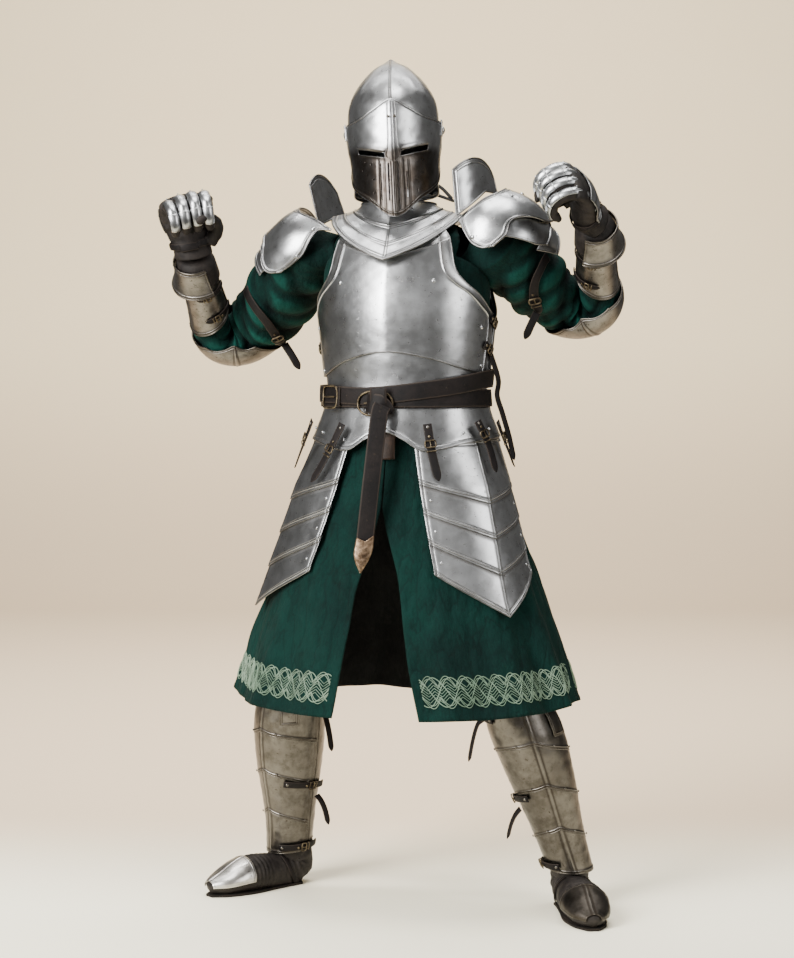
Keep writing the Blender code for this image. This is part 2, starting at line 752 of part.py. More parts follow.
Haute = namedtuple("Haute", "side front bulge rear front_foot foot top lean")
HAUTES = [
    Haute("right", (-0.166, 0.000), (-0.150, 0.085), (-0.112, 0.128), 1.446, 1.468, 1.560, -0.020),
    Haute("left", (0.123, -0.122), (0.184, -0.112), (0.212, -0.020), 1.459, 1.512, 1.579, -0.008),
]
for row in HAUTES:
    rows, cores = [], []
    front, bulge, rear = (Vector((*pair, 0)) for pair in (row.front, row.bulge, row.rear))
    for i in range(4):
        t = i / 3
        line = []
        for j in range(9):
            k = j / 8
            plan = front * (1 - k) ** 2 + bulge * (2 * k * (1 - k)) + rear * k**2
            top = row.top - 0.030 * (2 * k - 0.95) ** 2
            foot = mix(row.front_foot, row.foot, min(1.0, k / 0.6))
            line.append(plan + Vector((row.lean * (1 - t), 0, mix(top, foot, t))))
        rows.append(line)
        cores.append((front + rear) / 2 + Vector((0, 0, 1.52)))
    sheet(f"haute_piece_{row.side}", rows, cores, PLATE_WALL, STEEL)


# ---------------------------------------------------------------- gauntlets
Hand = namedtuple("Hand", "side along across palm shift")
HANDS = [  # across points from the forefinger to the little finger; shift moves the fist off the wrist
    Hand("right", (-0.12, -0.36, 0.92), (-0.88, -0.10, -0.35), 1, (0.0, 0.0, 0.0)),
    Hand("left", (-0.22, -0.70, 0.68), (0.30, -0.67, -0.67), -1, (-0.016, 0.0, -0.002)),
]
FIST = [
    Part(0.00, 0.038, 0.038, 0.041),
    Part(0.12, 0.028, 0.029, 0.041),
    Part(0.35, 0.021, 0.022, 0.056),
    Part(0.60, 0.018, 0.016, 0.057),
    Part(0.85, 0.014, 0.013, 0.050),
    Part(1.00, 0.008, 0.008, 0.038),
]
Knuckle = namedtuple("Knuckle", "along palm")
CURL = [Knuckle(0.008, 0.0), Knuckle(0.032, 0.0), Knuckle(0.090, -0.003), Knuckle(0.126, 0.016),
        Knuckle(0.129, 0.050), Knuckle(0.106, 0.076), Knuckle(0.070, 0.064)]


def hand_form(row):
    wrist = Vector(ARMS[row.side].wrist)
    along, across = Vector(row.along).normalized(), Vector(row.across)
    across = (across - along * across.dot(along)).normalized()
    palm = along.cross(across) * row.palm
    spots = [wrist + along * spot.along + palm * spot.palm for spot in CURL]
    path = flowing_path(spots[:1] + [spot + Vector(row.shift) for spot in spots[1:]])
    form = LimbForm(path, across, FIST)
    if form.ahead(0.3).cross(across).dot(palm) > 0:
        form = LimbForm(path, -across, FIST)
    return form


for row in HANDS:
    form = hand_form(row)
    stations = (0.0, 0.14, 0.30, 0.42, 0.52, 0.62, 0.74, 0.86, 0.97)
    rows = [[form.at(360 * j / 10, v) for j in range(10)] for v in stations]
    sheet(
        f"glove_{row.side}", rows, [form.core(v) for v in stations], CLOTH_WALL, LEATHER,
        closed=True, pole=("last", form.place(1.0)),
    )
    plate(
        f"hand_plate_{row.side}", form, flat(-72.0), flat(72.0), flat(0.24), flat(0.46), (6, 3),
        flat(0.005), PLATE_WALL, STEEL,
    )
    plate(
        f"finger_plates_{row.side}", form, flat(-62.0), flat(62.0), flat(0.48), flat(0.84), (6, 4),
        flat(0.005), PLATE_WALL, STEEL,
    )
    plate(
        f"gauntlet_cuff_{row.side}", arm_forms[row.side], flat(-115.0), flat(115.0), flat(0.885),
        flat(0.995), (10, 3), lambda k, t: 0.0150 + 0.013 * (1 - t) ** 2, PLATE_WALL, DULL_STEEL,
    )


# ---------------------------------------------------------------- greaves and boots
Leg = namedtuple("Leg", "side knee ankle heel toe")
LEGS = [
    Leg("right", (-0.232, 0.090, 0.450), (-0.240, 0.172, 0.080), (-0.190, 0.215), (-0.408, 0.035)),
    Leg("left", (0.250, -0.080, 0.450), (0.370, -0.030, 0.080), (0.362, 0.030), (0.400, -0.262)),
]
GREAVE = [
    Part(0.00, 0.070, 0.066, 0.070),
    Part(0.20, 0.080, 0.076, 0.078),
    Part(0.45, 0.074, 0.074, 0.071),
    Part(0.75, 0.056, 0.060, 0.056),
    Part(1.00, 0.052, 0.052, 0.049),
]
BOOT = [
    Part(0.00, 0.042, 0.042, 0.041),
    Part(0.22, 0.042, 0.042, 0.040),
    Part(0.36, 0.052, 0.034, 0.038),
    Part(0.52, 0.042, 0.039, 0.042),
    Part(0.72, 0.034, 0.037, 0.048),
    Part(0.90, 0.028, 0.018, 0.036),
    Part(1.00, 0.012, 0.008, 0.012),
]


def leg_forms(row):
    heel, toe = Vector((*row.heel, 0)), Vector((*row.toe, 0))
    forward = (toe - heel).normalized()
    side = forward.cross(Vector((0, 0, 1)))
    knee, ankle = Vector(row.knee), Vector(row.ankle)
    shin = LimbForm(flowing_path([knee, knee.lerp(ankle, 0.5), ankle]), side, GREAVE)
    if shin.ahead(0.5).cross(side).dot(forward) < 0:
        shin = LimbForm(shin.path, -side, GREAVE)
    rise = Vector((0, 0, 1))
    base = heel + forward * 0.052
    up_the_shin = (knee - ankle).normalized()
    spots = [ankle + up_the_shin * 0.050, ankle + up_the_shin * 0.005, base + rise * 0.050,
             base + forward * 0.05 + rise * 0.036, base + forward * 0.14 + rise * 0.034, toe + rise * 0.022]
    foot_side = -side if shin.normal.dot(side) > 0 else side
    foot = LimbForm(flowing_path(spots), foot_side, BOOT)
    return shin, foot, forward


for row in LEGS:
    shin, foot, forward = leg_forms(row)
    plate(
        f"greave_{row.side}", shin, flat(-100.0), flat(100.0), flat(0.0), flat(1.0), (10, 5), flat(0.0),
        PLATE_WALL, DULL_STEEL,
    )
    plate(
        f"calf_plate_{row.side}", shin, flat(103.0), flat(257.0), flat(0.03), flat(0.97), (8, 5), flat(0.0),
        PLATE_WALL, DULL_STEEL,
    )
    stations = (0.0, 0.16, 0.28, 0.38, 0.50, 0.66, 0.82, 0.93, 0.99)
    rows = []
    for v in stations:
        ring = [foot.at(360 * j / 10, v) for j in range(10)]
        for point in ring:
            point.z = max(point.z, 0.0)  # the sole lies on the floor
        rows.append(ring)
    sheet(
        f"boot_{row.side}", rows, [foot.core(v) for v in stations], 0.0025, LEATHER,
        closed=True, pole=("last", foot.place(1.0)),
    )
    plate(
        f"toe_cap_{row.side}", foot, flat(98.0), flat(262.0), flat(0.76), flat(0.985), (8, 4), flat(0.0040),
        PLATE_WALL, DULL_STEEL,
    )


# ---------------------------------------------------------------- the belts
def belt(name, middle, lift):
    across = 28
    rows = []
    for edge in (0.5, -0.5):
        row = []
        for j in range(across):
            angle = 360 * j / across - 180
            row.append(coat_form.lifted(angle, middle(angle) + edge * BELT_WIDTH, lift))
        rows.append(row)
    # Both edges keep the middle's distance, so that the strap stands straight
    cores = [coat_form.core(1.08)] * 2
    sheet(name, rows, cores, LEATHER_WALL, LEATHER, closed=True)


belt("belt_lower", flat(1.080), LOWER_BELT_LIFT)
belt(
    "belt_upper",
    knots(
        (-180, 1.118), (-110, 1.094), (-40, 1.088), (-10, 1.086),
        (40, 1.104), (80, 1.122), (130, 1.126), (180, 1.118),
    ),
    UPPER_BELT_LIFT,
)

TAIL_PLACES = ((-0.036, -0.176, 1.050), (-0.044, -0.186, 0.985), (-0.056, -0.196, 0.880), (-0.066, -0.200, 0.785))
TAIL = [Vector(place) for place in TAIL_PLACES]
TAIL_WIDTH = 0.036


def strap(name, path, across, width, wall, material):
    rows = [[point - across * width / 2, point + across * width / 2] for point in path]
    cores = [point + Vector((0, 0.1, 0)) for point in path]
    return sheet(name, rows, cores, wall, material)


tail_across = Vector((0.985, 0.0, 0.12)).normalized()
strap("belt_tail", flowing_path(TAIL, 2), tail_across, TAIL_WIDTH, LEATHER_WALL, LEATHER)


def frame_buckle(name, angle, height, half_width, half_height, corner):
    """A closed frame of round wire that lies on the belt."""
    wire = bpy.data.curves.new(name, "CURVE")
    wire.dimensions = "3D"
    wire.bevel_depth = 0.0026
    wire.bevel_resolution = 0
    spline = wire.splines.new("POLY")
    count = 16
    spline.points.add(count - 1)
    for i, point in enumerate(spline.points):
        turn = math.tau * i / count
        x = math.copysign(abs(math.cos(turn)) ** corner, math.cos(turn)) * half_width
        z = math.copysign(abs(math.sin(turn)) ** corner, math.sin(turn)) * half_height
        reach = smooth(COAT, height, "front") + UPPER_BELT_LIFT
        place = coat_form.lifted(angle + math.degrees(x / reach), height + z, UPPER_BELT_LIFT + 0.0045)
        point.co = (*place, 1.0)
    spline.use_cyclic_u = True
    wire.resolution_u = 1
    wire.materials.append(BRASS)
    buckle = bpy.data.objects.new(name, wire)
    buckle.parent = rig
    suit.objects.link(buckle)


frame_buckle("buckle_square", -49.0, 1.086, 0.019, 0.028, 0.55)
frame_buckle("buckle_ring", -9.0, 1.080, 0.031, 0.031, 1.0)

chape_rows = []
for share, width in ((0.0, 0.95), (0.35, 1.0), (0.7, 0.7), (0.95, 0.16)):
    middle = TAIL[-1] + Vector((-0.007 * share, -0.003, 0.012 - 0.075 * share))
    chape_rows.append(
        [middle + tail_across * (width * 0.0195 * k) - Vector((0, 0.0025 * (1 - k * k), 0)) for k in (-1, 0, 1)]
    )
sheet("belt_chape", chape_rows, [row[1] + Vector((0, 0.1, 0)) for row in chape_rows], 0.0022, BRASS)
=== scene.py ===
# %% [markdown]
# # A suit of plate armour
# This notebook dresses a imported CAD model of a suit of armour: bright plates over a green coat.
# The CAD model fixes every size. Each cell below makes one kind of piece again with more points
# in it, so that it can carry rolled edges, ridges, folds and rivets, and lays it where the CAD
# piece is.

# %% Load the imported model
import json
import math
from collections import namedtuple

import bmesh
import bpy
import numpy as np
from mathutils import Matrix, Vector, noise

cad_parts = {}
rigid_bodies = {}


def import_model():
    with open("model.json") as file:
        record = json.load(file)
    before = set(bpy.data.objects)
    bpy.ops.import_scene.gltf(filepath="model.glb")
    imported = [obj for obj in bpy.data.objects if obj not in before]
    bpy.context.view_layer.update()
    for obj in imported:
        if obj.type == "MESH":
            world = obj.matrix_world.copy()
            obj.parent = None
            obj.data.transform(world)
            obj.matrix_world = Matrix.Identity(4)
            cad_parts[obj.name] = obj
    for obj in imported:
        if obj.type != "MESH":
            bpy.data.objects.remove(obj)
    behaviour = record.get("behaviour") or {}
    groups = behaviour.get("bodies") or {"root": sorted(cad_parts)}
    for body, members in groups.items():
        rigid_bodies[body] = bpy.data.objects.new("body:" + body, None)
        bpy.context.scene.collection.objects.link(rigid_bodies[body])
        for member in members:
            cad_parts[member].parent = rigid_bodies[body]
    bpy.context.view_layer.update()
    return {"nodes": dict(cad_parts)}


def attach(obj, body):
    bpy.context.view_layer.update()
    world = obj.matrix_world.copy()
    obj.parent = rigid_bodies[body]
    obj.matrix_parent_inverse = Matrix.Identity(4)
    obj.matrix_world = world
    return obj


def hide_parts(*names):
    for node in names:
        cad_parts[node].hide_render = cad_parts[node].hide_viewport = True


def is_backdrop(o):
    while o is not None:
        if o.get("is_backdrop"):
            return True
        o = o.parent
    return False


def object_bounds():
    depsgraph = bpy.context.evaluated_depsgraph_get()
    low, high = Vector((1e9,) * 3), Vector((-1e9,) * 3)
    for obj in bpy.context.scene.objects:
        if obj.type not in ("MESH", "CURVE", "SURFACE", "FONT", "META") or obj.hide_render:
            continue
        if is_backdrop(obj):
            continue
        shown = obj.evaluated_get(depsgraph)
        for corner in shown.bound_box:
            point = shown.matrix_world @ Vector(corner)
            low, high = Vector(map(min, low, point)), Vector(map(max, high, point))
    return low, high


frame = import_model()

FLOOR = -1.44  # the soles' height: the origin is between the shoulders


# %% [markdown]
# ## Curves through a short table
# An armourer works from a few measured sections and keeps the metal smooth between them. A cubic
# curve through each column of a table does the same. numpy works on whole grids of points at
# once, which keeps a dense sheet quick to make.

# %% Smooth columns, knots and mixes
def smooth(table, key, column):
    """The column's value at each key, on a smooth curve through the table's rows."""
    rows = sorted(table, key=lambda row: row[0])
    keys = np.array([row[0] for row in rows])
    values = np.array([getattr(row, column) for row in rows])
    slopes = np.gradient(values, keys)
    slopes[1:-1] = (values[2:] - values[:-2]) / (keys[2:] - keys[:-2])
    key = np.clip(key, keys[0], keys[-1])
    i = np.clip(np.searchsorted(keys, key, side="right") - 1, 0, len(keys) - 2)
    span = keys[i + 1] - keys[i]
    t = (key - keys[i]) / span
    return (
        (2 * t**3 - 3 * t**2 + 1) * values[i]
        + (t**3 - 2 * t**2 + t) * span * slopes[i]
        + (3 * t**2 - 2 * t**3) * values[i + 1]
        + (t**3 - t**2) * span * slopes[i + 1]
    )


def knots(*pairs):
    """A function that joins (key, value) pairs by straight lines."""
    keys, values = zip(*pairs)
    return lambda key: np.interp(key, keys, values)


def soft_knots(*pairs):
    """A function that runs smoothly through (key, value) pairs."""
    Pair = namedtuple("Pair", "key value")
    rows = [Pair(*pair) for pair in pairs]
    return lambda key: smooth(rows, key, "value")


def mix(low, high, share):
    return low + (high - low) * share


def bell(distance, width):
    return np.exp(-((distance / width) ** 2))


def ramp(value, low, high):
    """0 below low, 1 above high, and an easy slope between."""
    t = np.clip((value - low) / (high - low), 0, 1)
    return t * t * (3 - 2 * t)


def flat(value):
    return lambda key: value + 0 * np.asarray(key, float)


def sin_cos(degrees):
    return np.sin(np.radians(degrees)), np.cos(np.radians(degrees))


def turned(vectors, degrees, axis="Z"):
    return vectors @ np.array(Matrix.Rotation(math.radians(degrees), 3, axis)).T


def unit(vectors):
    return vectors / np.linalg.norm(vectors, axis=-1, keepdims=True)


def stack(x, y, z):
    return np.stack(np.broadcast_arrays(x, y, z), axis=-1).astype(float)


# %% [markdown]
# ## The forms that plates lie on
# Every piece follows one of five forms: the body, the collar, the helm, a limb or a hand. A form
# gives a point for two numbers: an angle round it, and a place along it. Heights are above the
# floor, as an armourer would measure a stand.

# %% The forms' sizes
TORSO_TURN = -18.0
GORGET_TURN = -11.0
HELM_TURN = -2.5
HELM_ROLL = -2.8
HELM_PLACE = np.array([-0.007, -0.010, 0.0])
PIVOT_HEIGHT = 1.644
PIVOT_BACK = 0.024
PIVOT_HALF_SPAN = 0.1030
HELM_RIDGE = 0.007
BREAST_RIDGE = 0.010
BELLY_LIFT = 0.0095
BACK_LIFT = 0.0150
BREAST_LIFT = 0.0135
LOWER_BELT_LIFT = 0.0205
UPPER_BELT_LIFT = 0.0245
VISOR_LIFT = 0.0052
ELBOW_ROUND = 0.043

Layer = namedtuple("Layer", "height half_width front back")
COAT = [
    Layer(1.462, 0.078, 0.068, 0.080),
    Layer(1.446, 0.108, 0.074, 0.092),
    Layer(1.428, 0.144, 0.086, 0.104),
    Layer(1.400, 0.176, 0.101, 0.118),
    Layer(1.340, 0.181, 0.124, 0.126),
    Layer(1.270, 0.180, 0.137, 0.124),
    Layer(1.180, 0.171, 0.132, 0.114),
    Layer(1.090, 0.163, 0.122, 0.108),
    Layer(1.010, 0.176, 0.130, 0.124),
    Layer(0.930, 0.200, 0.148, 0.148),
    Layer(0.820, 0.240, 0.174, 0.178),
    Layer(0.690, 0.290, 0.204, 0.206),
    Layer(0.560, 0.337, 0.230, 0.226),
    Layer(0.425, 0.380, 0.252, 0.242),
]
COAT_CENTRE = np.array([0.020, 0.0, 0.0])

Ring = namedtuple("Ring", "height half_width half_depth back")
SKULL = [
    Ring(1.8000, 0.0030, 0.0035, 0.034),
    Ring(1.7930, 0.0135, 0.0170, 0.033),
    Ring(1.7810, 0.0355, 0.0430, 0.030),
    Ring(1.7585, 0.0585, 0.0690, 0.022),
    Ring(1.7375, 0.0745, 0.0880, 0.016),
    Ring(1.7140, 0.0875, 0.1030, 0.010),
    Ring(1.6900, 0.0945, 0.1110, 0.006),
    Ring(1.6550, 0.0965, 0.1150, 0.004),
    Ring(1.6160, 0.0950, 0.1150, 0.003),
    Ring(1.5770, 0.0890, 0.1130, 0.003),
    Ring(1.5400, 0.0890, 0.1140, 0.003),
    Ring(1.5000, 0.0900, 0.1160, 0.003),
    Ring(1.4500, 0.0890, 0.1180, 0.003),
]

Place = namedtuple("Place", "shoulder elbow wrist slack")
ARMS = {
    "right": Place((-0.186, 0.052, 1.405), (-0.374, 0.212, 1.222), (-0.434, 0.030, 1.380), 0.022),
    "left": Place((0.196, -0.062, 1.408), (0.404, 0.085, 1.284), (0.409, -0.130, 1.440), 0.0),
}
Part = namedtuple("Part", "along outer inner side")
SLEEVE = [
    Part(0.00, 0.068, 0.068, 0.068),
    Part(0.20, 0.082, 0.066, 0.070),
    Part(0.38, 0.078, 0.058, 0.068),
    Part(0.50, 0.055, 0.036, 0.061),
    Part(0.60, 0.047, 0.035, 0.055),
    Part(0.72, 0.039, 0.038, 0.043),
    Part(0.88, 0.034, 0.033, 0.036),
    Part(1.00, 0.031, 0.030, 0.033),
]
SPAULDER = [
    Part(0.0, 0.044, 0.05, 0.066),
    Part(0.3, 0.056, 0.05, 0.076),
    Part(0.6, 0.064, 0.05, 0.078),
    Part(1.0, 0.062, 0.05, 0.072),
]
Shoulder = namedtuple("Shoulder", "side neck point")
SHOULDERS = {
    "right": Shoulder("right", (-0.115, 0.040, 1.440), (-0.196, 0.068, 1.414)),
    "left": Shoulder("left", (0.135, -0.040, 1.446), (0.222, -0.074, 1.428)),
}
FIST = [
    Part(0.00, 0.038, 0.038, 0.041),
    Part(0.12, 0.028, 0.029, 0.041),
    Part(0.35, 0.021, 0.022, 0.056),
    Part(0.60, 0.018, 0.016, 0.057),
    Part(0.85, 0.014, 0.013, 0.050),
    Part(1.00, 0.008, 0.008, 0.038),
]
GREAVE = [
    Part(0.00, 0.070, 0.066, 0.070),
    Part(0.20, 0.080, 0.076, 0.078),
    Part(0.45, 0.074, 0.074, 0.071),
    Part(0.75, 0.056, 0.060, 0.056),
    Part(1.00, 0.052, 0.052, 0.049),
]
BOOT = [
    Part(0.00, 0.042, 0.042, 0.041),
    Part(0.22, 0.042, 0.042, 0.040),
    Part(0.36, 0.052, 0.034, 0.038),
    Part(0.52, 0.042, 0.039, 0.042),
    Part(0.72, 0.034, 0.037, 0.048),
    Part(0.90, 0.028, 0.018, 0.036),
    Part(1.00, 0.012, 0.008, 0.012),
]
Leg = namedtuple("Leg", "side knee ankle heel toe")
LEGS = {
    "right": Leg("right", (-0.232, 0.090, 0.450), (-0.240, 0.172, 0.080), (-0.190, 0.215), (-0.408, 0.035)),
    "left": Leg("left", (0.250, -0.080, 0.450), (0.370, -0.030, 0.080), (0.362, 0.030), (0.400, -0.262)),
}


# %% The forms themselves
class Form:
    """A smooth surface with an inside: at(u, v) is a point of it, and core(v) is within it."""

    STEP_U = 0.5
    STEP_V = 0.002

    def normal(self, u, v):
        along_u = self.at(u + self.STEP_U, v) - self.at(u - self.STEP_U, v)
        along_v = self.at(u, v + self.STEP_V) - self.at(u, v - self.STEP_V)
        facing = unit(np.cross(along_u, along_v))
        outward = np.sum(facing * (self.at(u, v) - self.core(v)), axis=-1, keepdims=True)
        return np.where(outward < 0, -facing, facing)

    def lifted(self, u, v, lift):
        u, v, lift = np.broadcast_arrays(*(np.asarray(x, float) for x in (u, v, lift)))
        return self.at(u, v) + lift[..., None] * self.normal(u, v)


class CoatForm(Form):
    """u is the angle round the body in degrees, 0 in front and growing to the wearer's left."""

    def __init__(self, ridge=0.0):
        self.ridge = ridge

    def core(self, height):
        return stack(COAT_CENTRE[0], COAT_CENTRE[1], height)

    def at(self, angle, height):
        sine, cosine = sin_cos(angle)
        side = smooth(COAT, height, "half_width") * sine
        ridge = self.ridge * np.maximum(0.0, 1 - np.abs(sine)) ** 2
        forward = np.where(
            cosine > 0,
            smooth(COAT, height, "front") * cosine + ridge,
            smooth(COAT, height, "back") * cosine,
        )
        return self.core(height) + turned(stack(side, -forward, 0.0), TORSO_TURN)


class GorgetForm(Form):
    """A collar that spreads over the chest: v is 0 at the neck and 1 at its pointed outer edge."""

    NECK = 1.492
    STEP_V = 0.02

    def core(self, v):
        return stack(COAT_CENTRE[0] - 0.016, 0.004, mix(self.NECK, 1.40, v))

    def at(self, angle, v):
        sine, cosine = sin_cos(angle)
        front = np.maximum(0.0, cosine)
        point_drop = np.where(cosine > 0, 0.030 * np.maximum(0.0, 1 - np.abs(sine)) ** 1.5, 0.0)
        edge_height = 1.468 - 0.072 * front**1.3 - point_drop - 0.022 * np.maximum(0.0, -cosine)
        spread = np.maximum(v, 0.0) ** 1.7
        half_width = mix(0.080, 0.141, spread)
        depth = mix(0.082, 0.155, spread)
        ridge = np.where(cosine > 0, 0.010 * np.maximum(0.0, 1 - np.abs(sine)) ** 2, 0.0)
        place = turned(stack(half_width * sine, -depth * cosine - ridge, 0.0), GORGET_TURN)
        return place + stack(COAT_CENTRE[0] - 0.016, 0.004, mix(self.NECK, edge_height, v))


def helm_to_world(local):
    """From the helm's own frame, at the height of its pivots, to the suit's."""
    tilted = turned(turned(local, HELM_ROLL, "Y"), HELM_TURN)
    return tilted + HELM_PLACE + np.array([0, 0, PIVOT_HEIGHT])


class HelmForm(Form):
    """The skull's surface. The ridge down its middle runs on into the visor's keel."""

    def core(self, height):
        return helm_to_world(stack(0.0, smooth(SKULL, height, "back"), height - PIVOT_HEIGHT))

    def at(self, angle, height):
        sine, cosine = sin_cos(angle)
        half_width = smooth(SKULL, height, "half_width")
        half_depth = smooth(SKULL, height, "half_depth")
        ridge = np.where(cosine > 0, HELM_RIDGE * np.maximum(0.0, 1 - np.abs(sine)) ** 3, 0.0)
        depth = half_depth * cosine + ridge * np.minimum(1.0, half_width / 0.06)
        local = stack(half_width * sine, smooth(SKULL, height, "back") - depth, height - PIVOT_HEIGHT)
        return helm_to_world(local)


class LimbForm(Form):
    """A tube along a flat path. u is 0 on the path's outer side, v runs from 0 to 1 along it."""

    STEP_V = 0.01

    def __init__(self, path, across, sections):
        path = np.array([tuple(point) for point in path])
        steps = np.linalg.norm(np.diff(path, axis=0), axis=1)
        self.length = steps.sum()
        self.shares = np.concatenate([[0], np.cumsum(steps)]) / self.length
        self.path = path
        self.across = unit(np.array(tuple(across)))
        self.sections = sections

    def place(self, v):
        v = np.asarray(v, float)
        inside = np.clip(v, 0, 1)
        on_path = np.stack([np.interp(inside, self.shares, self.path[:, k]) for k in range(3)], axis=-1)
        first = (self.path[1] - self.path[0]) / (self.shares[1] * self.length)
        last = (self.path[-1] - self.path[-2]) / ((1 - self.shares[-2]) * self.length)
        before = (np.minimum(v, 0) * self.length)[..., None] * first
        return on_path + before + (np.maximum(v - 1, 0) * self.length)[..., None] * last

    def ahead(self, v):
        return unit(self.place(np.asarray(v) + 0.015) - self.place(np.asarray(v) - 0.015))

    def core(self, v):
        return self.place(v)

    def at(self, angle, v):
        outward = np.cross(self.ahead(v), self.across)
        sine, cosine = sin_cos(angle)
        outer, inner = smooth(self.sections, v, "outer"), smooth(self.sections, v, "inner")
        reach = np.where(cosine > 0, outer, inner) * cosine
        side = smooth(self.sections, v, "side") * sine
        return self.place(v) + outward * reach[..., None] + self.across * side[..., None]


# %% Paths of limbs
def bent_path(start, middle, end, radius):
    """A straight stretch, an arc whose middle is at the bend, and a straight stretch."""
    corner = middle.copy()
    for _ in range(8):
        ahead, after = (corner - start).normalized(), (end - corner).normalized()
        half_turn = ahead.angle(after) / 2
        outward = (ahead - after).normalized()
        corner = middle + outward * (radius / math.cos(half_turn) - radius)
    across = ahead.cross(after).normalized()
    run = radius * math.tan(half_turn)
    centre = corner - outward * (radius / math.cos(half_turn))
    first = corner - ahead * run - centre
    path = [start.lerp(centre + first, i / 4) for i in range(4)]
    path += [centre + Matrix.Rotation(2 * half_turn * i / 24, 3, across) @ first for i in range(25)]
    path += [path[-1].lerp(end, i / 4) for i in range(1, 5)]
    return path, across


def flowing_path(points, steps=5):
    """A smooth curve through a few points."""
    points = [Vector(tuple(point)) for point in points]
    ends = [points[0] * 2 - points[1], *points, points[-1] * 2 - points[-2]]
    path = []
    for a, b, c, d in zip(ends, ends[1:], ends[2:], ends[3:]):
        for i in range(steps):
            t = i / steps
            bend = (2 * a - 5 * b + 4 * c - d) * t**2 + (3 * b - a - 3 * c + d) * t**3
            path.append(0.5 * (2 * b + (c - a) * t + bend))
    return path + [points[-1]]


def arm_form(side):
    place = ARMS[side]
    path, across = bent_path(*(Vector(point) for point in place[:3]), ELBOW_ROUND)
    bulge = knots((0.0, 0.0), (0.20, 0.6), (0.38, 1.0), (0.50, 0.0))
    sections = [part._replace(outer=part.outer + place.slack * float(bulge(part.along))) for part in SLEEVE]
    return LimbForm(path, across, sections)


def shoulder_form(side):
    elbow, row = Vector(ARMS[side].elbow), SHOULDERS[side]
    point = Vector(row.point)
    path, across = bent_path(Vector(row.neck), point, point.lerp(elbow, 0.5), 0.05)
    return LimbForm(path, across, SPAULDER)


def leg_forms(side):
    row = LEGS[side]
    heel, toe = Vector((*row.heel, 0)), Vector((*row.toe, 0))
    forward = (toe - heel).normalized()
    rise = Vector((0, 0, 1))
    across = forward.cross(rise)
    knee, ankle = Vector(row.knee), Vector(row.ankle)
    shin = LimbForm(flowing_path([knee, knee.lerp(ankle, 0.5), ankle]), across, GREAVE)
    if np.dot(np.cross(shin.ahead(0.5), across), forward) < 0:
        across = -across
        shin = LimbForm(shin.path, across, GREAVE)
    base, up_shin = heel + forward * 0.052, (knee - ankle).normalized()
    spots = [
        ankle + up_shin * 0.050,
        ankle + up_shin * 0.005,
        base + rise * 0.050,
        base + forward * 0.05 + rise * 0.036,
        base + forward * 0.14 + rise * 0.034,
        toe + rise * 0.022,
    ]
    foot = LimbForm(flowing_path(spots), -across, BOOT)
    return shin, foot


coat_form, breast_form = CoatForm(), CoatForm(ridge=BREAST_RIDGE)
gorget_form, helm_form = GorgetForm(), HelmForm()
arm_forms = {side: arm_form(side) for side in ARMS}
shoulder_forms = {side: shoulder_form(side) for side in SHOULDERS}
leg_form_pairs = {side: leg_forms(side) for side in LEGS}
print("arm length", round(arm_forms["right"].length, 3), round(arm_forms["left"].length, 3))
# %% [markdown]
# ## Finishes
# Each finish is procedural: noise in the object's own space stands for polish, patina and wear.
# Shader sums are long as nodes, so a small class lets a socket be written like a number.

# %% Sockets as numbers
def feed(tree, socket, value):
    if isinstance(value, Number):
        tree.links.new(value.socket, socket)
    elif isinstance(value, tuple) and len(value) == 3 and len(getattr(socket, "default_value", ())) == 4:
        socket.default_value = (*value, 1.0)
    else:
        socket.default_value = value


class Number:
    """A shader socket with arithmetic."""

    def __init__(self, shader, socket):
        self.shader, self.socket = shader, socket

    def sum_of(self, operation, *values):
        node = self.shader.tree.nodes.new("ShaderNodeMath")
        node.operation = operation
        for socket, value in zip(node.inputs, values):
            feed(self.shader.tree, socket, value)
        return Number(self.shader, node.outputs[0])

    def __add__(self, other):
        return self.sum_of("ADD", self, other)

    __radd__ = __add__

    def __mul__(self, other):
        return self.sum_of("MULTIPLY", self, other)

    __rmul__ = __mul__

    def __sub__(self, other):
        return self.sum_of("SUBTRACT", self, other)

    def __rsub__(self, other):
        return self.sum_of("SUBTRACT", other, self)

    def __truediv__(self, other):
        return self.sum_of("DIVIDE", self, other)

    def __rtruediv__(self, other):
        return self.sum_of("DIVIDE", other, self)

    def highest(self, other):
        return self.sum_of("MAXIMUM", self, other)

    def sine(self):
        return self.sum_of("SINE", self)

    def size(self):
        return self.sum_of("ABSOLUTE", self)


